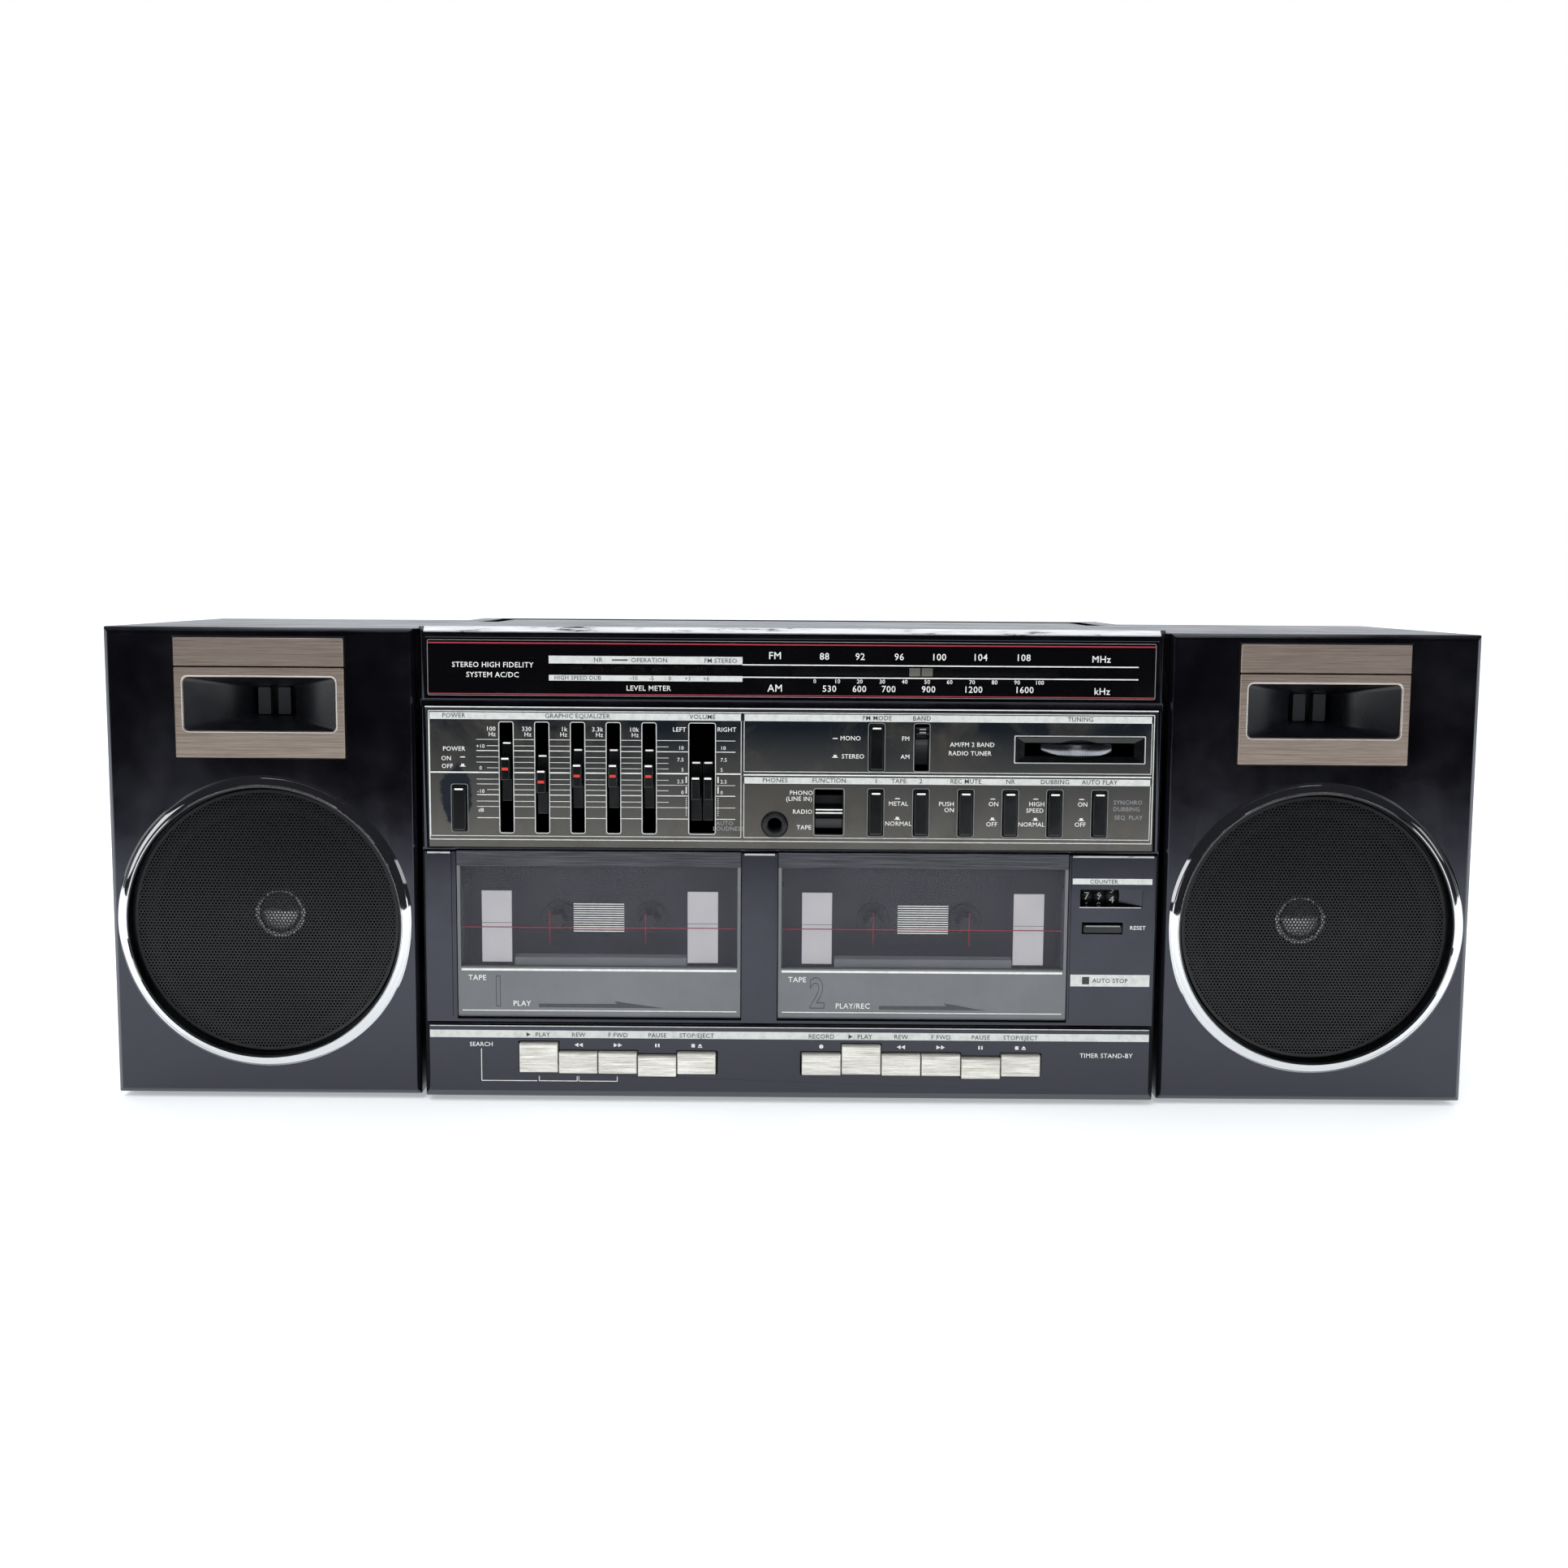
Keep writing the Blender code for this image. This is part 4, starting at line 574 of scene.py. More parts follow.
CARRIER_FRONT = FACE + 2.15
for slider in [f"eq_slider_{k}" for k in range(1, 6)] + ["volume_slider_left", "volume_slider_right"]:
    softened(slider, 0.3, gloss_black)
    low, high = corners(slider)
    x, line = (low[0] + high[0]) / 2, low[2] + 15.0
    printed(slider + "_mark", slider, mark_white, low[1],
            shapes=[oblong(x - 1.6, x + 1.6, line + 4.2, line + 5.0, 0.2)])
    printed(slider + "_tip", slider, mark_white, CARRIER_FRONT,
            shapes=[oblong(x - 1.75, x + 1.75, line + 10.7, line + 11.4, 0.2)], up=0.2)
    if slider.startswith("eq"):
        printed(slider + "_red", slider, mark_red, low[1],
                shapes=[oblong(x - 1.4, x + 1.4, line - 0.6, line + 0.6, 0.2)])


def swept(outline, left, right):
    """A closed bar: an outline of (y, z) points carried along X from left to right."""
    yz = np.asarray(outline, float)
    n = len(yz)
    points = np.concatenate([np.insert(yz, 0, x, axis=1) for x in (left, right)])
    a = np.arange(n)
    b = (a + 1) % n
    return points, [a.tolist(), (a[::-1] + n).tolist()] + np.stack([a, b, b + n, a + n], axis=1).tolist()


def thumb_switch(node, ridge, foot, inset, marks, mark_ink):
    """A slide switch: a thin carrier with a ridge for the thumb, and under it a hollow slope to its foot."""
    low, high = corners(node)
    carrier_y, foot_z = high[1] - 1.4, low[2] + foot
    slope = np.linspace(0, math.pi / 2, 9)
    hollow = np.stack([low[1] + 0.5 + (carrier_y - low[1] - 0.5) * np.sin(slope) ** 1.4,
                       ridge - 1.6 - (ridge - 1.6 - foot_z) * (1 - np.cos(slope))], axis=1)
    outline = [(high[1], low[2]), (high[1], high[2]), (carrier_y, high[2]), (carrier_y, ridge + 2.2),
               (low[1] + 0.4, ridge + 1.4), (low[1], ridge + 1.0), (low[1], ridge - 1.0), *hollow,
               (carrier_y, low[2])]
    knob = piece(node + "_knob", *swept(outline, low[0] + inset, high[0] - inset), gloss_black, True)
    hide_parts(node)
    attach(knob, node)
    bars = [oblong(low[0] + 1.3, high[0] - 1.3, ridge + z, ridge + z + 0.55, 0.15) for z in marks]
    printed(node + "_lines", node, mark_ink, low[1], shapes=bars)


thumb_switch("function_switch", 135.6, 3.0, 1.35, (-1.0, 0.4), mark_white)
thumb_switch("band_switch", 171.6, 8.75, 0.0, (-0.9, 0.5), grey_ink)

socket_black = moulded("black_socket_plastic", "0a0b0d", "2a2c30", 0.3, 0.8, 0.01)
softened("phones_jack", 0, socket_black)


def turned(centre, profile, sides, axis="Y", ribs=None):
    """A turned surface. Each (radius, place along the axis) of the profile goes round a line through centre.
    Ribs, if given, is how many ridges stand round it and how high. The profile is closed on itself."""
    radius, along = np.asarray(profile, float).T
    turn = np.linspace(0, 2 * math.pi, sides, endpoint=False)
    reach = radius[:, None] + np.zeros(sides)
    if ribs:
        reach = reach + (radius[:, None] >= radius.max() - 0.3) * ribs[1] * np.cos(ribs[0] * turn)
    across, level = reach * np.cos(turn), reach * np.sin(turn)
    place = along[:, None] + np.zeros(sides)
    upright = (centre[0] + across, centre[1] + level, place)
    order = upright if axis == "Z" else (centre[0] + across, place, centre[1] + level)
    points = np.stack(order, axis=-1).reshape(-1, 3)
    i, j = np.meshgrid(np.arange(len(radius)), np.arange(sides), indexing="ij")
    a, b = i * sides + j, i * sides + (j + 1) % sides
    c, d = ((i + 1) % len(radius)) * sides + j, ((i + 1) % len(radius)) * sides + (j + 1) % sides
    return points, np.stack([a, b, d, c], axis=-1).reshape(-1, 4)


# The tuning wheel is plated plastic, knurled round its rim, and shows through a black funnel.
plated = finish("black_chrome_plated_plastic", "96989d", 0.2, {"Metallic": 1.0})[0]
wheel_low, wheel_high = corners("tuning_wheel")
rim = (wheel_high[0] - wheel_low[0]) / 2 - 0.2
wheel_y = (wheel_low[1] + wheel_high[1]) / 2
wheel_z = (wheel_low[2] + wheel_high[2]) / 2
RIM_HALF = 2.7
wheel_profile = [(2.4, -RIM_HALF + 0.9), (rim - 3, -RIM_HALF + 0.9), (rim - 1.2, -RIM_HALF),
                 (rim - 0.3, -RIM_HALF + 0.2), (rim, -RIM_HALF + 0.7), (rim, 0.0), (rim, RIM_HALF - 0.7),
                 (rim - 0.3, RIM_HALF - 0.2), (rim - 1.2, RIM_HALF), (rim - 3, RIM_HALF - 0.9),
                 (2.4, RIM_HALF - 0.9), (2.4, 8.2), (0.0, 8.2), (0.0, -8.2), (2.4, -8.2)]
wheel_profile = [(r, wheel_z + z) for r, z in wheel_profile]
wheel_x = (wheel_low[0] + wheel_high[0]) / 2
wheel = turned((wheel_x, wheel_y), wheel_profile, 640, "Z", (160, 0.12))
wheel = piece("tuning_wheel_rim", *wheel, plated, True)
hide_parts("tuning_wheel")
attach(wheel, "tuning_wheel")


def stacked(rings, loop=True):
    """Quads that join rings of equally many points, each to the next, in a loop the last to the first."""
    n = len(rings[0])
    i, j = np.meshgrid(np.arange(len(rings) if loop else len(rings) - 1), np.arange(n), indexing="ij")
    after, beside = (i + 1) % len(rings), (j + 1) % n
    quads = np.stack([i * n + j, i * n + beside, after * n + beside, after * n + j], axis=-1)
    return np.concatenate(rings), quads.reshape(-1, 4)


def at_depth(outline, y):
    """An outline of (x, z) points as points in space at one depth."""
    return np.insert(np.asarray(outline, float), 1, y, axis=1)


FUNNEL_OUT, FUNNEL_IN = (100.0, 157.1, 157.8, 168.9), (103.9, 152.7, 160.4, 166.5)
outer, inner = oblong(*FUNNEL_OUT), oblong(*FUNNEL_IN)
rings = [at_depth(outer, FACE), at_depth(outer, FACE - 0.9), at_depth(inner, FACE - 0.1),
         at_depth(inner, FACE)]
funnel = piece("tuning_funnel", *stacked(rings), gloss_black)
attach(funnel, "unit")

# ---- bright lines and raised blocks of the front moulding ---------------------------------------
# The moulding's top edge is hot-foiled silver, and the foil has worn through in places. The thin silver
# lines along the lip over the control panel and the lip over the keys are painted highlights, where
# those edges catch the light. Three raised blocks stand beside and between the cassette doors, each
# with a painted highlight along its top edge.
# Worn silver foil on the top edge; the same material paints highlights along the tops of the blocks.
worn_foil_and_painted_highlight, tree, shader = finish("worn_silver_foil", "c9cbcd", 0.3, {"Metallic": 0.8})
at = put(tree, "TexCoord").outputs["Object"]
long_wise = put(tree, "Mapping", {"Vector": at, "Scale": (1000 / 22, 1000 / 2.5, 1000 / 2.5)})
WEAR = {"Scale": 1.0, "Detail": 8, "Roughness": 0.75}
chips = put(tree, "TexNoise", {"Vector": long_wise.outputs[0], **WEAR})
chipped = put(tree, "MapRange", {0: chips.outputs[0], 1: 0.56, 2: 0.64})
tone = put(tree, "Mix", {0: chipped.outputs[0], 6: rgb("d3d5d8"), 7: rgb("3b3c42")}, data_type="RGBA")
tree.links.new(tone.outputs[2], shader.inputs["Base Color"])
dull = put(tree, "MapRange", {0: chips.outputs[0], 1: 0.3, 2: 0.7, 3: 0.22, 4: 0.6})
tree.links.new(dull.outputs[0], shader.inputs["Roughness"])
bump = put(tree, "Bump", {"Strength": 0.4, "Distance": 0.02 * MM, "Height": chips.outputs[0]})
tree.links.new(bump.outputs[0], shader.inputs["Normal"])

frame_low, frame_high = corners("front_frame")
CHAMFER = 2.2
top_z, edge = frame_high[2], 0.05
foil_outline = [(FACE - edge, top_z - CHAMFER - 0.4), (FACE - edge, top_z - CHAMFER + 0.05),
                (FACE + CHAMFER, top_z), (FACE + CHAMFER + 0.4, top_z),
                (FACE + CHAMFER + 0.4, top_z - 0.3), (FACE + 0.3, top_z - CHAMFER - 0.4)]
foil = piece("top_edge_foil", *swept(foil_outline, frame_low[0] + 2.4, frame_high[0] - 2.4), worn_foil_and_painted_highlight)
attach(foil, "unit")

KEY_FACE = frame_low[1]
# Painted highlights: silver lines where the lip over the control panel and the lip over the keys catch the
# light.
STEP_HIGHLIGHT, GROOVE_HIGHLIGHT = (36.2, 36.55), (180.5, 181.05)
printed("groove_lip_painted_highlight", "unit", silver_ink_and_painted_highlight, FACE,
        bars=[(frame_low[0] + 2.5, frame_high[0] - 2.5, *GROOVE_HIGHLIGHT)])
printed("step_lip_painted_highlight", "unit", silver_ink_and_painted_highlight, KEY_FACE,
        bars=[(frame_low[0] + 3, frame_high[0] - 3, *STEP_HIGHLIGHT)])

BLOCK_Z, BLOCK_PROUD = (40.6, 115.7), 0.9
COUNTER_HOLE, RESET_HOLE = (130.2, 158.3, 92.7, 100.5), (131.3, 149.7, 80.2, 85.6)
raised = {"left_block": (frame_low[0] + 2.4, -152.4), "middle_block": (-20.9, -6.7),
          "counter_block": (126.3, 163.2)}
for name, (left, right) in raised.items():
    holes = (COUNTER_HOLE, RESET_HOLE) if name == "counter_block" else ()
    xs = np.unique([left, right] + [x for hole in holes for x in hole[:2]])
    zs = np.unique([*BLOCK_Z] + [z for hole in holes for z in hole[2:]])
    cells = blocks(xs, zs, FACE - BLOCK_PROUD, FACE,
                   lambda x, z, holes=holes: not any(inside(h, x, z) for h in holes))
    block = piece(name, *cells, black_abs)
    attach(block, "unit")
    # Painted highlight: a silver line along the top edge of each block, where it catches the light.
    highlight_y, highlight_z = FACE - BLOCK_PROUD - 0.06, (BLOCK_Z[1] - 0.75, BLOCK_Z[1] + 0.05)
    highlight_outline = [(highlight_y, highlight_z[0]), (highlight_y, highlight_z[1]), (FACE, highlight_z[1]), (FACE, highlight_z[0])]
    line = piece(name + "_foil", *swept(highlight_outline, left + 0.3, right - 0.3), worn_foil_and_painted_highlight)
    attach(line, "unit")

# ---- tape counter -------------------------------------------------------------------------------
# Three drums on one spindle show through a window whose right wall slopes up to the front. The
# figures stand in white round each drum, and the last drum has stopped between two of them.
drum_black = moulded("black_drum_plastic", "0d0e10", "26282b", 0.4, 0.8, 0.01)
softened("counter_drums", 0, drum_black)
drum_low, drum_high = corners("counter_drums")
drum_y, drum_z = (drum_low[1] + drum_high[1]) / 2, (drum_low[2] + drum_high[2]) / 2
drum_radius = (drum_high[2] - drum_low[2]) / 2
DRUM_X = (133.9, 139.6, 145.3)
SHOWN = (7, 9, 4.35)
FIGURE = 3.3
figures = bmesh.new()
text = type_case()
text.data.size, text.data.extrude, text.data.resolution_u = FIGURE / CAPITAL * MM, 0.06 * MM, 1
for x, shown in zip(DRUM_X, SHOWN):
    for figure in range(10):
        glyph = cast(text, str(figure))
        on_rim = Matrix.Translation((0, -drum_radius * MM, -FIGURE / 2 * MM))
        glyph.transform(on_rim @ Matrix.Rotation(math.pi / 2, 4, "X"))
        turn = Matrix.Rotation(math.radians((shown - figure) * 36), 4, "X")
        glyph.transform(Matrix.Translation((x * MM, drum_y * MM, (drum_z + 0.2) * MM)) @ turn)
        figures.from_mesh(glyph)
        bpy.data.meshes.remove(glyph)
bpy.data.objects.remove(text)
mesh = bpy.data.meshes.new("counter_figures")
figures.to_mesh(mesh)
figures.free()
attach(placed("counter_figures", mesh, silver_ink_and_painted_highlight), "counter_drums")

ramp_x = (COUNTER_HOLE[0], drum_high[0] + 0.4, COUNTER_HOLE[1])
ramp_outline = np.array([(ramp_x[1], FACE + 5.2), (ramp_x[2], FACE + 0.1), (ramp_x[2], FACE + 5.2)])
ramp_low = np.insert(ramp_outline, 2, COUNTER_HOLE[2], axis=1)
ramp_high = np.insert(ramp_outline, 2, COUNTER_HOLE[3], axis=1)
ramp_faces = [[0, 1, 2], [5, 4, 3], [0, 3, 4, 1], [1, 4, 5, 2], [2, 5, 3, 0]]
ramp = piece("counter_window_ramp", np.concatenate([ramp_low, ramp_high]), ramp_faces, black_abs)
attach(ramp, "unit")
softened("counter_reset_button", 0.4, gloss_black)
reset_low, reset_high = corners("counter_reset_button")
printed("reset_line", "counter_reset_button", grey_ink, reset_low[1],
        bars=[(reset_low[0] + 1.0, reset_high[0] - 1.0, reset_high[2] - 1.3, reset_high[2] - 0.7)])
block_face = FACE - BLOCK_PROUD
printed("counter_strips", "unit", silver_ink_and_painted_highlight, block_face,
        bars=[(126.7, 162.4, 102.9, 105.5), (126.7, 162.4, 56.2, 61.6), (130.0, 157.6, 92.2, 92.5)])
printed("counter_legend", "unit", dark_ink, block_face - INK,
        [("COUNTER", 140.7, 104.2, 1.75), ("AUTO STOP", 144.6, 58.9, 1.9)],
        [(132.0, 135.2, 57.2, 60.6)])
printed("reset_legend", "unit", white_ink, block_face, [("RESET", 156.4, 83.2, 1.75)])

# ---- cassette wells and doors -------------------------------------------------------------------
# Each well is a grey plastic box with two sprung hubs. Its door is a sprayed frame round a smoked
# acrylic window, with a brushed strip on top. Two pale plates hold the cassette behind the window.
well_grey = moulded("grey_deck_plastic", "303238", "3f4148", 0.45, 0.8, 0.015)
softened("deck_chassis", 0.3, well_grey)
hub_black = moulded("black_hub_nylon", "17181b", "2b2d31", 0.35, 0.8, 0.01)
for hub in ("1_supply", "1_takeup", "2_supply", "2_takeup"):
    softened(f"reel_spindle_{hub}", 0.15, hub_black)

door_grey = moulded("satin_grey_sprayed_plastic", "6a6c6f", "7d7f83", 0.42, 0.6, 0.012)
smoked = finish("smoked_acrylic", "6a6b75", 0.06, {"IOR": 1.49, "Alpha": 0.12})[0]
plate_silver, tree, shader = finish("satin_tinplate", "cfcdd0", 0.5, {"Metallic": 0.1})
at = put(tree, "TexCoord").outputs["Object"]
stained = put(tree, "TexNoise", {"Vector": at, "Scale": 1000 / 14, "Detail": 6})
tone = put(tree, "Mix", {0: stained.outputs[0], 6: rgb("c3c0c2"), 7: rgb("dbd9dc")}, data_type="RGBA")
tree.links.new(tone.outputs[2], shader.inputs["Base Color"])


def brushed(name, dark, pale, roughness, line, length, metallic=1.0):
    """Brushed metal: scratches line mm wide and length mm long along X, in tone, gloss and height."""
    made, tree, shader = finish(name, pale, roughness, {"Metallic": metallic})
    at = put(tree, "TexCoord").outputs["Object"]
    along = put(tree, "Mapping", {"Vector": at, "Scale": (1000 / length, 1000 / line, 1000 / line)})
    grain = {"Scale": 1.0, "Detail": 5, "Roughness": 0.7}
    scratch = put(tree, "TexNoise", {"Vector": along.outputs[0], **grain})
    cut = put(tree, "MapRange", {0: scratch.outputs[0], 1: 0.3, 2: 0.7})
    tone = put(tree, "Mix", {0: cut.outputs[0], 6: rgb(dark), 7: rgb(pale)}, data_type="RGBA")
    worn_to = {1: 0.3, 2: 0.7, 3: roughness + 0.08, 4: roughness - 0.06}
    gloss = put(tree, "MapRange", {0: scratch.outputs[0], **worn_to})
    bump = put(tree, "Bump", {"Strength": 0.5, "Distance": 0.015 * MM, "Height": scratch.outputs[0]})
    for socket, output in (("Base Color", tone.outputs[2]), ("Roughness", gloss.outputs[0]),
                           ("Normal", bump.outputs[0])):
        tree.links.new(output, shader.inputs[socket])
    return made


dark_strip = brushed("dark_brushed_aluminium", "2c2c31", "6f7076", 0.34, 0.5, 30, 0.8)
# Grey ink for the printed arrows; on the plates it also paints shade lines.
arrow_and_painted_shade_ink = printed_ink("arrow_and_painted_shade_grey_ink", "47484b")
HINGE_RADIUS = 1.8
PANEL_TOP, WINDOW_TOP = 63.2, 109.2
ARM_THICK, ARM_Z = 2.0, (48.0, 100.0)
WINDOW_DEEP = 0.35
DOORS = ((1, (-113.6, -56.6), -131.9, ("PLAY", -121.2, 46.4, 2.35)),
         (2, (40.5, 89.4), 12.4, ("PLAY/REC", 28.6, 46.2, 2.35)))
for number, (tail, tip), figure_x, use in DOORS:
    node = f"cassette_door_{number}"
    low, high = corners(node)
    left, right, back = low[0], high[0], FACE + 2 * HINGE_RADIUS
    turn = np.radians(np.linspace(180, 360, 13))
    axis_y, axis_z = FACE + HINGE_RADIUS, low[2] + HINGE_RADIUS
    foot = np.stack([axis_y + HINGE_RADIUS * np.cos(turn), axis_z + HINGE_RADIUS * np.sin(turn)], axis=1)
    lower = piece(f"door_{number}_panel",
                  *swept([(back, PANEL_TOP), (FACE, PANEL_TOP), *foot], left, right), door_grey, True)
    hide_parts(node)
    strip = piece(f"door_{number}_strip", *slabs([oblong(left, right, WINDOW_TOP, high[2])], FACE, back),
                  dark_strip)
    stiles = [oblong(left, left + 1.4, PANEL_TOP, WINDOW_TOP),
              oblong(right - 1.4, right, PANEL_TOP, WINDOW_TOP)]
    frame_sides = piece(f"door_{number}_stiles", *slabs(stiles, FACE + 0.1, back), door_grey)
    arms = [oblong(left + 0.2, left + 0.2 + ARM_THICK, *ARM_Z),
            oblong(right - 0.2 - ARM_THICK, right - 0.2, *ARM_Z)]
    arms = piece(f"door_{number}_arms", *slabs(arms, back, high[1]), well_grey)
    window = [oblong(left + 1.45, right - 1.45, PANEL_TOP + 0.05, WINDOW_TOP - 0.05)]
    window = piece(f"door_{number}_window", *slabs(window, FACE + WINDOW_DEEP, FACE + 2.2), smoked)
    middle = (left + right) / 2
    plates = [(left + 10.7, left + 24.2), (right - 24.0, right - 10.3)]
    holders = [oblong(a, b, 65.0, 97.6) for a, b in plates]
    holders = piece(f"door_{number}_plates", *slabs(holders, FACE + 2.5, FACE + 3.0), plate_silver)
    sill = [(FACE + 2.6, 63.4), (FACE + 2.6, 67.2), (FACE + 7.5, 67.8), (FACE + 7.5, 63.4)]
    rest = piece(f"door_{number}_sill", *swept(sill, plates[0][1] + 1.2, plates[1][0] - 0.5), door_grey)
    for made in (lower, strip, frame_sides, arms, window, holders, rest):
        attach(made, node)
    face = FACE + WINDOW_DEEP
    hairs = [(middle - 11.4, middle + 11.4, z, z + 0.36) for z in np.linspace(79.6, 92.0, 13)]
    printed(f"door_{number}_hairlines", node, white_ink, face, bars=hairs)
    reds = [(left + 2, right - 2, 81.15, 81.42), (middle - 22.4, middle - 22.15, 74.0, 89.2),
            (middle + 20.8, middle + 21.05, 74.0, 89.2)]
    printed(f"door_{number}_red_lines", node, red_ink, face, bars=reds)
    # Painted shade: two dark lines on each plate stand in for the shadow and the reflection of the red line
    # in front of it.
    printed(f"door_{number}_plate_painted_shade_lines", node, arrow_and_painted_shade_ink, FACE + 2.5,
            bars=[(a, b, z, z + 0.2) for a, b in plates for z in (81.0, 82.9)])
    lines = [(left + 1.6, right - 1.8, 61.4, 62.4), (left + 1.8, right - 1.8, 42.9, 43.3)]
    words = [("TAPE", left + 8.7, 58.2, 2.35), use]
    printed(f"door_{number}_legends", node, white_ink, FACE, words, lines)
    barb = tail + 0.6 * (tip - tail)
    outline = [(tail, 44.6), (tip, 44.5), (tip - 6, 45.3), (barb + 6, 46.8), (barb, 47.7),
               (barb + 1.2, 46.4), (tail, 46.3)]
    printed(f"door_{number}_arrow", node, arrow_and_painted_shade_ink, FACE, shapes=[outline], up=0.02)
    text = type_case()
    text.data.size, text.data.offset = 13.2 / CAPITAL * MM, 0.3 * MM
    text.data.fill_mode, text.data.bevel_depth, text.data.bevel_resolution = "NONE", 0.14 * MM, 1
    numeral = cast(text, str(number))
    place = Matrix.Translation((figure_x * MM, FACE * MM, 45.4 * MM)) @ Matrix.Rotation(math.pi / 2, 4, "X")
    numeral.transform(place @ Matrix.Diagonal((0.72, 1, 1, 1)))
    bpy.data.objects.remove(text)
    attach(placed(f"door_{number}_numeral", numeral, dark_ink), node)

# ---- transport keys and their legends -----------------------------------------------------------
# Each piano key is plastic under a cap of brushed aluminium, whose grain runs across the key. Above
# the keys runs a silver stripe with their names, and under the stripe their signs in white.
key_silver = brushed("brushed_aluminium_cap", "a8a59c", "fffdf4", 0.3, 0.55, 14, 0.55)
KEYS_1 = ("play", "rewind", "fast_forward", "pause", "stop_eject")
keys = [f"tape_1_{key}_key" for key in KEYS_1] + [f"tape_2_{key}_key" for key in ("record", *KEYS_1)]
for key in keys:
    softened(key, 0.3, key_silver)
printed("key_stripe", "unit", silver_ink_and_painted_highlight, KEY_FACE, bars=[(-162.7, 162.7, 31.0, 34.4)])
NAMES = {"play": "PLAY", "rewind": "REW", "fast_forward": "F FWD", "pause": "PAUSE",
         "stop_eject": "STOP/EJECT", "record": "RECORD"}
names, signs, dark_signs = [], [], []
SIGN_Z = 27.8


def triangle(x, z, half, way=1):
    """A triangle pointing right, or left when way is -1."""
    return [(x - way * half, z - half * 1.05), (x + way * half, z), (x - way * half, z + half * 1.05)]


for key in keys:
    low, high = corners(key)
    x, kind = (low[0] + high[0]) / 2, key[7:-4]
    names.append((NAMES[kind], x + (1.6 if kind == "play" else 0), 32.5, 1.95))
    if kind == "play":
        dark_signs.append(triangle(x - 4.8, 32.5, 0.95))
    elif kind in ("rewind", "fast_forward"):
        way = -1 if kind == "rewind" else 1
        signs += [triangle(x - 1.0, SIGN_Z, 0.9, way), triangle(x + 1.0, SIGN_Z, 0.9, way)]
    elif kind == "pause":
        signs += [oblong(x - 1.0, x - 0.3, SIGN_Z - 0.8, SIGN_Z + 0.8),
                  oblong(x + 0.3, x + 1.0, SIGN_Z - 0.8, SIGN_Z + 0.8)]
    elif kind == "stop_eject":
        signs += [oblong(x - 2.4, x - 0.8, SIGN_Z - 0.8, SIGN_Z + 0.8),
                  oblong(x + 0.5, x + 2.5, SIGN_Z - 0.9, SIGN_Z - 0.5)]
        signs.append([(x + 0.5, SIGN_Z - 0.2), (x + 2.5, SIGN_Z - 0.2), (x + 1.5, SIGN_Z + 0.9)])
    else:
        signs.append(oblong(x - 0.95, x + 0.95, SIGN_Z - 0.95, SIGN_Z + 0.95, 0.94))
printed("key_names", "unit", dark_ink, KEY_FACE - INK, names, shapes=dark_signs)
THIN = 0.16
brackets = [(-139.5 - THIN, -139.5 + THIN, 11.2, 25.8), (-139.5, -114.3, 11.0 - THIN, 11.0 + THIN)]
for a, b in ((-113.4, -96.2), (-95.4, -78.0)):
    brackets += [(a, b, 11.0 - THIN, 11.0 + THIN), (a - THIN, a + THIN, 11.0, 13.3),
                 (b - THIN, b + THIN, 11.0, 13.3)]
timer = [("TIMER STAND-BY", 143.6, 24.5, 2.0), ("SEARCH", -139.5, 27.9, 1.9)]
printed("key_signs", "unit", white_ink, KEY_FACE, timer, brackets, signs)

# ---- loudspeakers -------------------------------------------------------------------------------
# Each box carries a paper-cone woofer behind perforated steel in a chromed ring, and above it a
# small horn: a flared black moulding in a plate of bronze-tinted brushed aluminium.
chrome = finish("bright_chrome_plate", "e2e4e6", 0.05, {"Metallic": 1.0})[0]
bronze = brushed("bronze_tinted_brushed_aluminium", "8f8075", "dccabc", 0.33, 0.45, 26, 0.8)
horn_black = moulded("black_horn_plastic", "0e0f13", "2c2e36", 0.3, 0.6, 0.01)
throat_grey = moulded("grey_horn_plug", "35363b", "4a4b50", 0.4, 0.6, 0.01)
mesh_black = moulded("stoved_black_steel", "060709", "121317", 0.3, 0.4, 0.006,
                     {"Specular IOR Level": 0.45})
cone_paper = moulded("black_cone_paper", "101114", "24252a", 0.75, 0.9, 0.05)
roll_rubber = moulded("rubber_surround", "0b0b0d", "1d1e21", 0.5, 0.7, 0.02)
cap_metal = finish("aluminium_dust_cap", "dfe0e2", 0.16, {"Metallic": 1.0})[0]
basket_steel = moulded("painted_steel_basket", "15161a", "2c2d32", 0.4, 0.5, 0.01, {"Metallic": 0.4})
PITCH, HOLE, SHEET = 1.52, 0.56, 0.5
SPEAKER_FACE = corners("speaker_front_left")[0][1]


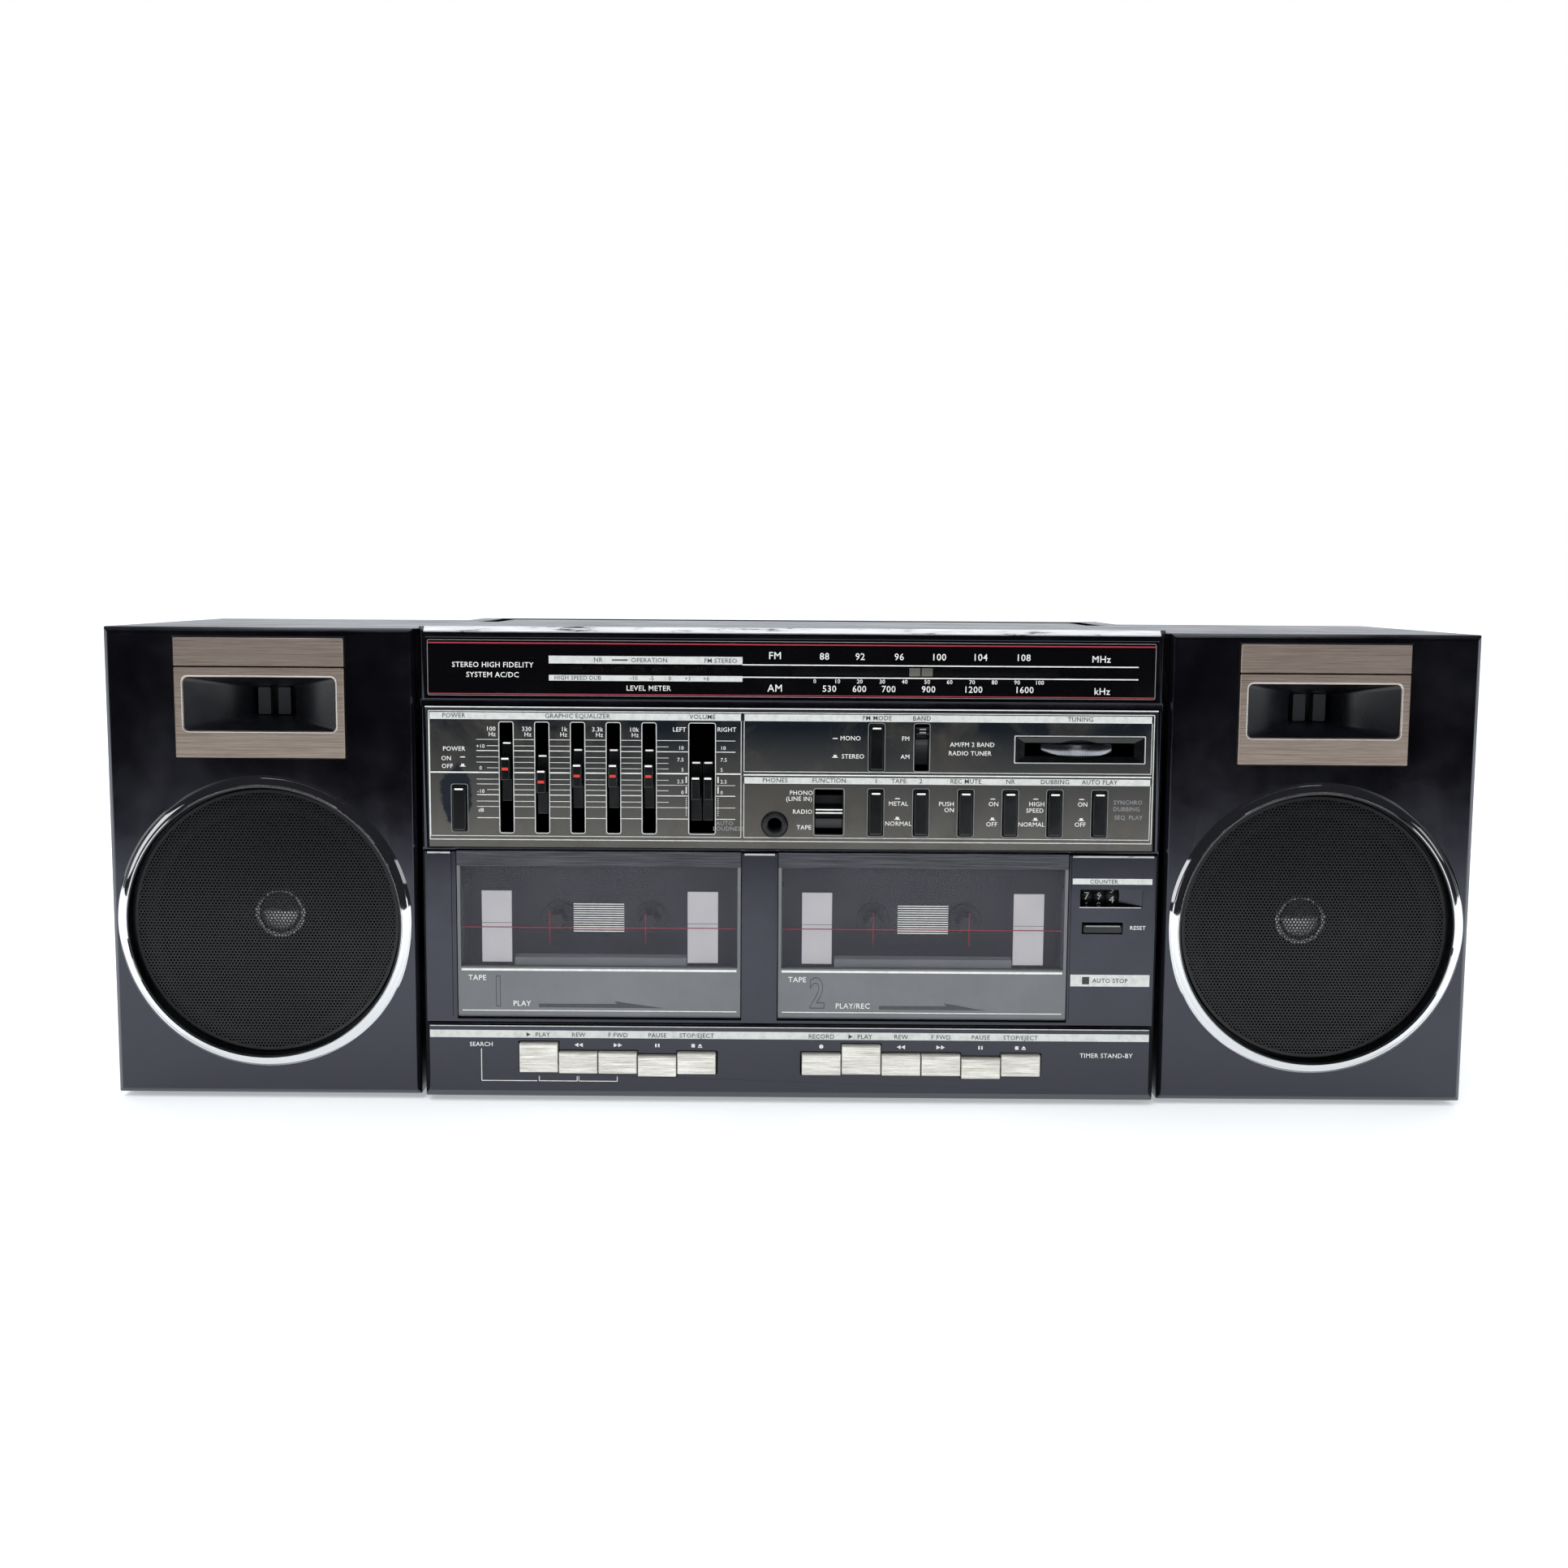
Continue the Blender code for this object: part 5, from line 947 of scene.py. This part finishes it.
def perforated(centre, reach, front, pitch, hole, thick, dish):
    """A sheet of six-sided cells, each with a six-sided hole, on a triangular lattice of that pitch. It is
    dished back by the square of the distance from the middle. Each has a front, a back and hole walls."""
    rows = int(reach / (pitch * math.sqrt(3) / 2)) + 1
    i, j = np.meshgrid(np.arange(-rows - 1, rows + 2), np.arange(-rows - 1, rows + 2), indexing="ij")
    mid = np.stack([(j + 0.5 * (i % 2)) * pitch, i * pitch * math.sqrt(3) / 2], axis=-1).reshape(-1, 2)
    mid = mid[np.hypot(*mid.T) < reach]
    turn = np.radians(np.arange(6) * 60 + 30)
    spokes = np.stack([np.cos(turn), np.sin(turn)], axis=1)
    outer = mid[:, None] + spokes * pitch / math.sqrt(3)
    inner = mid[:, None] + spokes * hole
    cells = np.stack([outer, inner, inner, outer], axis=1)
    sunk = front + dish * (np.hypot(cells[..., 0], cells[..., 1]) / reach) ** 2
    sunk += np.array([0, 0, thick, thick])[:, None]
    points = np.stack([centre[0] + cells[..., 0], sunk, centre[1] + cells[..., 1]], axis=-1).reshape(-1, 3)
    k = np.arange(6)
    after = (k + 1) % 6
    one = np.concatenate([np.stack([r * 6 + k, r * 6 + after, (r + 1) * 6 + after, (r + 1) * 6 + k], axis=1)
                          for r in range(3)])
    return points, (one + 24 * np.arange(len(mid))[:, None, None]).reshape(-1, 4)


for side in ("left", "right"):
    body = f"speaker_{side}"
    ring_low, ring_high = corners(f"woofer_ring_{side}")
    centre = ((ring_low[0] + ring_high[0]) / 2, (ring_low[2] + ring_high[2]) / 2)
    outer_r, crest = (ring_high[0] - ring_low[0]) / 2, ring_low[1]
    inner_r = outer_r - 4.75
    s = np.linspace(0, 1, 9)
    slope = np.stack([outer_r - 4.05 * s,
                      SPEAKER_FACE - (SPEAKER_FACE - crest - 0.25) * np.sin(s * 1.35) / math.sin(1.35)], 1)
    ring = [*slope, (inner_r + 0.55, crest + 0.05), (inner_r + 0.35, crest), (inner_r, crest + 0.4),
            (inner_r, crest + 1.2), (outer_r - 1.2, crest + 1.6),
            (outer_r - 1.2, SPEAKER_FACE + 0.4), (outer_r, SPEAKER_FACE + 0.1)]
    ring = piece(f"chrome_ring_{side}", *turned(centre, ring, 192), chrome, True)
    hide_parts(f"woofer_ring_{side}")
    wall = [(inner_r, crest + 0.4), (inner_r - 0.6, crest + 0.5), (inner_r - 0.6, ring_high[1]),
            (inner_r + 0.9, ring_high[1]), (inner_r + 0.9, crest + 1.3), (inner_r, crest + 1.3)]
    wall = piece(f"ring_wall_{side}", *turned(centre, wall, 128), gloss_black, True)

    grille_low, grille_high = corners(f"grille_{side}")
    grille_r = (grille_high[0] - grille_low[0]) / 2
    sheet = perforated(centre, grille_r - 1.3, grille_low[1], PITCH, HOLE, SHEET, 0.4)
    sheet = piece(f"perforated_grille_{side}", *sheet, mesh_black)
    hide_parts(f"grille_{side}")
    rolled = [(grille_r - 1.7, grille_low[1] + 0.32), (grille_r - 0.3, grille_low[1] + 0.32),
              (grille_r, grille_low[1] + 0.6), (grille_r, grille_low[1] + 1.0),
              (grille_r - 1.7, grille_low[1] + 1.0)]
    rolled = piece(f"grille_edge_{side}", *turned(centre, rolled, 128), mesh_black, True)

    # The woofer: rubber roll, paper cone with three pressed rings, metal cap, steel basket and magnet.
    woofer_low, woofer_high = corners(f"woofer_{side}")
    lip = woofer_low[1]
    roll = np.radians(np.linspace(180, 0, 9))
    surround = [(54.0 + 5.0 * math.cos(a), lip + 2.0 - 1.92 * math.sin(a)) for a in roll]
    surround = [(60.5, lip + 1.2), *sorted(surround, reverse=True), (48.6, lip + 2.3), (48.6, lip + 2.8),
                (60.5, lip + 2.6)]
    surround = piece(f"woofer_surround_{side}", *turned(centre, surround, 96), roll_rubber, True)
    r = np.linspace(49.5, 11.5, 24)
    depth = lip + 2.6 + (49.5 - r) / 38 * 17.5 - 0.5 * np.sin((49.5 - r) / 38 * math.pi)
    depth = depth + 0.35 * np.exp(-((r[:, None] - np.array([42, 34, 26])) / 0.9) ** 2).sum(axis=1)
    cone = np.concatenate([np.stack([r, depth], 1), np.stack([r[::-1], depth[::-1] + 0.5], 1)])
    cone = piece(f"woofer_cone_{side}", *turned(centre, cone, 96), cone_paper, True)
    cap_r, cap_y = 11.6, lip + 19.8
    s = np.linspace(0, 1, 9)
    dome = [(cap_r, cap_y), (cap_r, cap_y - 0.5), (cap_r - 0.9, cap_y - 0.7), (cap_r - 1.4, cap_y - 0.2)]
    dome += [((cap_r - 1.6) * math.cos(a), cap_y - 0.2 - 3.4 * math.sin(a)) for a in s * math.pi / 2]
    dome += [(0.0, cap_y + 0.6), (cap_r, cap_y + 0.6)]
    cap = piece(f"dust_cap_{side}", *turned(centre, dome, 64), cap_metal, True)
    magnet_r, back = 32.0, woofer_high[1]
    basket = [(64.5, lip), (60.6, lip), (60.6, lip + 3.0), (52.0, lip + 5.5), (36.0, lip + 24.0),
              (24.0, lip + 24.6), (12.0, lip + 24.6), (0.0, lip + 24.6), (0.0, back),
              (magnet_r - 1, back), (magnet_r, back - 1), (magnet_r, back - 15.0),
              (magnet_r + 6, back - 17.0), (62.0, lip + 6.5), (62.0, lip + 1.6), (64.5, lip + 1.6)]
    basket = piece(f"woofer_basket_{side}", *turned(centre, basket, 96), basket_steel, True)
    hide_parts(f"woofer_{side}")

    # The horn: a plate in two pieces with a groove between them, a flare, two vertical plugs, a driver.
    low, high = corners(f"horn_tweeter_{side}")
    middle = (low[0] + high[0]) / 2
    plate_y, plate_back, groove_z = low[1], SPEAKER_FACE + 1.0, (197.5, 198.2)
    mouth = (middle - 33.9, middle + 33.9, 169.2, 193.2)
    rim = [at_depth(oblong(low[0], high[0], low[2], groove_z[0], 0.4), plate_back),
           at_depth(oblong(low[0], high[0], low[2], groove_z[0], 0.4), plate_y + 0.25),
           at_depth(oblong(low[0] + 0.25, high[0] - 0.25, low[2] + 0.25, groove_z[0] - 0.25, 0.3), plate_y),
           at_depth(oblong(mouth[0] - 0.7, mouth[1] + 0.7, mouth[2] - 0.7, mouth[3] + 0.7, 2.6), plate_y),
           at_depth(oblong(*mouth, 2.2), plate_y + 0.5), at_depth(oblong(*mouth, 2.2), plate_back)]
    plate = piece(f"horn_plate_{side}", *stacked(rim), bronze)
    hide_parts(f"horn_tweeter_{side}")
    upper = [at_depth(oblong(low[0], high[0], groove_z[1], high[2], 0.4), plate_back),
             at_depth(oblong(low[0], high[0], groove_z[1], high[2], 0.4), plate_y + 0.25),
             at_depth(oblong(low[0] + 0.25, high[0] - 0.25, groove_z[1] + 0.25, high[2] - 0.25, 0.3),
                      plate_y)]
    points, faces = stacked(upper, loop=False)
    n = len(upper[0])
    faces = [*faces.tolist(), list(range(n))[::-1], list(range(2 * n, 3 * n))]
    header = piece(f"horn_header_{side}", points, faces, bronze)
    strip = border(mouth[0] - 0.75, mouth[1] + 0.75, mouth[2] - 0.75, mouth[3] + 0.75, 2.7, 0.28)
    printed(f"horn_mouth_rim_{side}", body, silver_ink_and_painted_highlight, plate_y, shapes=strip, up=0.03)
    t = np.linspace(0, 1, 15)
    throat = (9.0, 6.2)
    mouth_half = (33.7, 11.8)
    mouth_z = (mouth[2] + mouth[3]) / 2
    flare_x = throat[0] + (mouth_half[0] - throat[0]) * (1 - t) ** 2.1
    flare_z = throat[1] + (mouth_half[1] - throat[1]) * (1 - t) ** 1.4
    flare_y = plate_y + 0.45 + 28.0 * t
    rings = [at_depth(oblong(middle - x, middle + x, mouth_z - z, mouth_z + z, 2.0 - 0.9 * k), y)
             for x, z, y, k in zip(flare_x, flare_z, flare_y, t)]
    rings += [at_depth(oblong(middle - x - 1.2, middle + x + 1.2, mouth_z - z - 1.2, mouth_z + z + 1.2,
                              2.4 - 0.9 * k), y)
              for x, z, y, k in list(zip(flare_x, flare_z, flare_y + 0.9, t))[::-1]]
    flare = piece(f"horn_flare_{side}", *stacked(rings), horn_black, True)
    plug_y = flare_y[-1] - 4.5
    plugs = [oblong(middle - 7.4, middle - 1.8, mouth_z - throat[1], mouth_z + throat[1], 0.5),
             oblong(middle + 1.8, middle + 7.4, mouth_z - throat[1], mouth_z + throat[1], 0.5)]
    plugs = piece(f"horn_plugs_{side}", *slabs(plugs, plug_y, flare_y[-1] + 1.0), throat_grey)
    driver = [(0.0, flare_y[-1] + 1.0), (13.0, flare_y[-1] + 1.0), (13.0, high[1] - 1.0), (12.0, high[1]),
              (0.0, high[1])]
    driver = piece(f"horn_driver_{side}", *turned((middle, mouth_z), driver, 48), basket_steel, True)
    for made in (ring, wall, sheet, rolled, surround, cone, cap, basket,
                 plate, header, flare, plugs, driver):
        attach(made, body)

# ---- handle, antenna, battery door and rear details ---------------------------------------------
# The handle is black ABS on two steel pins. The telescopic antenna is chromed brass tube, lying in a
# ledge at the rear. Screws are zinc plated, and the mains inlet is a black nylon socket with two pins.
handle_abs = moulded("grained_handle_abs", "0a0a0c", "2b2c30", 0.45, 1.4, 0.05)
softened("carry_handle", 0.4, handle_abs, segments=3)
softened("battery_door", 0.4, black_abs)
for node, width in (("antenna_tube", 0.15), ("antenna_rod", 0.1)):
    softened(node, width, chrome)

zinc = finish("zinc_plated_steel", "9fa1a3", 0.32, {"Metallic": 1.0})[0]
socket_nylon = moulded("black_socket_nylon", "0a0b0c", "1f2023", 0.4, 0.8, 0.01)
REAR = corners("battery_door")[1][1]


def screw_heads(name, body, places, face):
    """Pan-head screws whose heads stand off a face that looks along +Y, each with a cross recess."""
    profile = [(0.0, face), (3.1, face), (3.1, face + 0.5), (2.2, face + 1.1), (1.5, face + 1.25),
               (0.0, face + 1.25)]
    heads = [turned(place, profile, 24) for place in places]
    points = np.concatenate([p for p, _ in heads])
    faces = np.concatenate([f + k * len(heads[0][0]) for k, (_, f) in enumerate(heads)])
    screws = piece(name, points, faces, zinc, True)
    cross = [oblong(x - a, x + a, z - b, z + b) for x, z in places for a, b in ((1.5, 0.28), (0.28, 1.5))]
    slots = piece(name + "_recesses", *slabs(cross, face + 1.2, face + 1.28), socket_nylon)
    for made in (screws, slots):
        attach(made, body)


screw_heads("set_screws", "unit", [(x, z) for x in (-140, 50, 140) for z in (12, 171)], REAR)
SPEAKER_X = 237.15
for side, way in (("left", -1), ("right", 1)):
    back = corners(f"speaker_cabinet_{side}")[1][1]
    middle = way * SPEAKER_X
    places = [(way * (SPEAKER_X + dx), z) for dx in (-58, 58) for z in (12, 203)]
    screw_heads(f"speaker_screws_{side}", f"speaker_{side}", places, back)
    hatch = [oblong(middle - 24, middle + 24, 96, 128, 2.0)]
    terminal = piece(f"terminal_plate_{side}", *slabs(hatch, back, back + 0.8), socket_nylon)
    clips = [oblong(middle + x - 5, middle + x + 5, 100, 124, 1.2) for x in (-12, 12)]
    clips = piece(f"terminal_clips_{side}", *slabs(clips, back + 0.8, back + 2.4), gloss_black)
    for made in (terminal, clips):
        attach(made, f"speaker_{side}")

ribs = [oblong(x, x + 2.2, 112, 160, 1.0) for x in np.arange(-126, 20, 5.6)]
ribs = piece("vent_ribs", *slabs(ribs, REAR, REAR + 1.2), black_abs)
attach(ribs, "unit")
INLET = (96.0, 122.0, 28.0, 44.0)
cup = [at_depth(oblong(*INLET, 1.5), REAR + 0.4), at_depth(oblong(*INLET, 1.5), REAR - 12),
       at_depth(oblong(99.2, 118.8, 31.0, 41.0, 3.0), REAR - 12),
       at_depth(oblong(99.2, 118.8, 31.0, 41.0, 3.0), REAR + 0.4)]
socket = piece("mains_socket", *stacked(cup), socket_nylon)
floor_plate = piece("mains_socket_floor", *slabs([oblong(*INLET, 1.5)], REAR - 13, REAR - 12), socket_nylon)
pins = [(0.0, REAR - 12), (1.2, REAR - 12), (1.2, REAR - 3), (0.6, REAR - 2), (0.0, REAR - 2)]
pins = [turned((x, 36.0), pins, 16) for x in (105.7, 112.3)]
pins = piece("mains_pins", np.concatenate([p for p, _ in pins]),
             np.concatenate([pins[0][1], pins[1][1] + len(pins[0][0])]), zinc, True)
grip_lines = [oblong(x, x + 1.4, 80.5, 85.5, 0.5) for x in np.arange(-66, -34, 3)]
grip = piece("battery_door_grip", *slabs(grip_lines, REAR, REAR + 0.7), black_abs)
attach(grip, "battery_door")
for made in (socket, floor_plate, pins):
    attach(made, "unit")

# Behind the battery door is an open bay for two rows of cells. It is a moulded tray with a shelf
# between the rows, conical steel springs at one end and nickelled contact plates at the other.
door_low, door_high = corners("battery_door")
BAY = (door_low[0] - 1.4, door_high[0] + 1.4, door_low[2] - 1.4, door_high[2] + 1.4)
BAY_FLOOR, BAY_MOUTH, CELL_Y = 50.0, 88.8, 70.0
shelf_z = (BAY[2] + BAY[3]) / 2
tray_walls, wall_faces = slabs(border(*BAY, 0.5, 1.2), BAY_FLOOR, BAY_MOUTH)
inner_plates = [oblong(BAY[0] + 1.2, BAY[1] - 1.2, BAY[2] + 1.2, BAY[3] - 1.2)]
tray_floor, floor_faces = slabs(inner_plates, BAY_FLOOR, BAY_FLOOR + 1.2)
shelf, shelf_faces = slabs([oblong(BAY[0] + 1.3, BAY[1] - 1.3, shelf_z - 0.6, shelf_z + 0.6)],
                           BAY_FLOOR + 1.3, CELL_Y)
for name, points, faces in (("battery_tray_walls", tray_walls, wall_faces),
                            ("battery_tray_floor", tray_floor, floor_faces),
                            ("battery_shelf", shelf, shelf_faces)):
    made = piece(name, points, faces, black_abs)
    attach(made, "unit")


def coil(start, length, radius, turns, wire, steps=180, sides=8):
    """A conical spring along X: a round wire on a helix whose radius changes evenly from end to end."""
    t = np.linspace(0, 1, steps)[:, None]
    turn, ring = 2 * math.pi * turns * t, np.linspace(0, 2 * math.pi, sides, endpoint=False)[None]
    reach = radius[0] + (radius[1] - radius[0]) * t + wire * np.cos(ring)
    points = np.stack([start[0] + length * t + wire * np.sin(ring), start[1] + reach * np.cos(turn),
                       start[2] + reach * np.sin(turn)], axis=-1)
    points, faces = stacked(list(points), loop=False)
    last = len(points) - sides
    return points, [*faces.tolist(), list(range(sides))[::-1], list(range(last, last + sides))]


nickel = finish("nickelled_contact_steel", "b9b7b0", 0.25, {"Metallic": 1.0})[0]
for row, z in (("lower", (BAY[2] + shelf_z) / 2), ("upper", (BAY[3] + shelf_z) / 2)):
    spring = coil((BAY[0] + 1.9, CELL_Y, z), 14.0, (8.0, 4.0), 5, 0.55)
    spring = piece(f"battery_spring_{row}", *spring, nickel, True)
    contact = [oblong(BAY[1] - 1.8, BAY[1] - 1.3, z - 9, z + 9)]
    contact = piece(f"battery_contact_{row}", *slabs(contact, CELL_Y - 9, CELL_Y + 9), nickel)
    for made in (spring, contact):
        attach(made, "unit")

# The rating label is printed foil. Two line sockets stand beside the mains inlet, and white legends
# name the sockets. Everything printed on the back is made for the front and then turned round.
label_foil = finish("printed_foil_label", "b9bbbd", 0.38, {"Metallic": 0.6})[0]
LABEL = (50.0, 134.0, 112.0, 158.0)
label = piece("rating_label", *slabs([oblong(*LABEL, 1.5)], REAR, REAR + 0.12), label_foil)
sockets = []
for x, ink in ((58.0, mark_white), (74.0, mark_red)):
    barrel = [(0.8, REAR - 3), (3.4, REAR - 3), (3.4, REAR + 2.6), (4.1, REAR + 2.6), (4.1, REAR + 0.9),
              (6.0, REAR + 0.9), (6.0, REAR), (8.0, REAR - 6), (0.8, REAR - 6)]
    sockets.append(piece(f"line_socket_{x:.0f}", *turned((x, 36.0), barrel, 32), zinc, True))
    collar = [(4.3, REAR + 0.9), (5.6, REAR + 0.9), (5.6, REAR + 1.5), (4.3, REAR + 1.5)]
    sockets.append(piece(f"line_socket_collar_{x:.0f}", *turned((x, 36.0), collar, 32), ink, True))
for made in (label, *sockets):
    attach(made, "unit")
middle = (LABEL[0] + LABEL[1]) / 2
lines = [("STEREO RADIO DOUBLE CASSETTE", 150.5, 2.6), ("AC 120 V  60 Hz  22 W", 144.5, 2.2),
         ("DC 12 V  8 x SIZE D CELLS", 139.8, 2.2), ("FM 88-108 MHz   AM 530-1600 kHz", 135.0, 2.2),
         ("CAUTION: DO NOT OPEN. NO SERVICEABLE", 126.4, 1.9),
         ("PARTS INSIDE. KEEP AWAY FROM MOISTURE.", 122.6, 1.9)]
label_edge = border(*(np.array(LABEL) + (1.5, -1.5, 1.5, -1.5)), 1.0, 0.3)
frame_line = [outline * (-1, 1) for outline in label_edge]
lines = [(word, -middle, z, height) for word, z, height in lines]
names = [("LINE IN", -66.0, 46.5, 2.4), ("L", -58.0, 26.5, 2.2), ("R", -74.0, 26.5, 2.2),
         ("AC IN", -109.0, 49.0, 2.4), ("BATTERIES", 50.0, 91.5, 2.6)]
rear_prints = [printed("rating_print", "unit", dark_ink, -(REAR + 0.12), lines, shapes=frame_line),
               printed("rear_legends", "unit", white_ink, -REAR, names)]
for made in rear_prints:
    made.data.transform(Matrix.Rotation(math.pi, 4, "Z"))
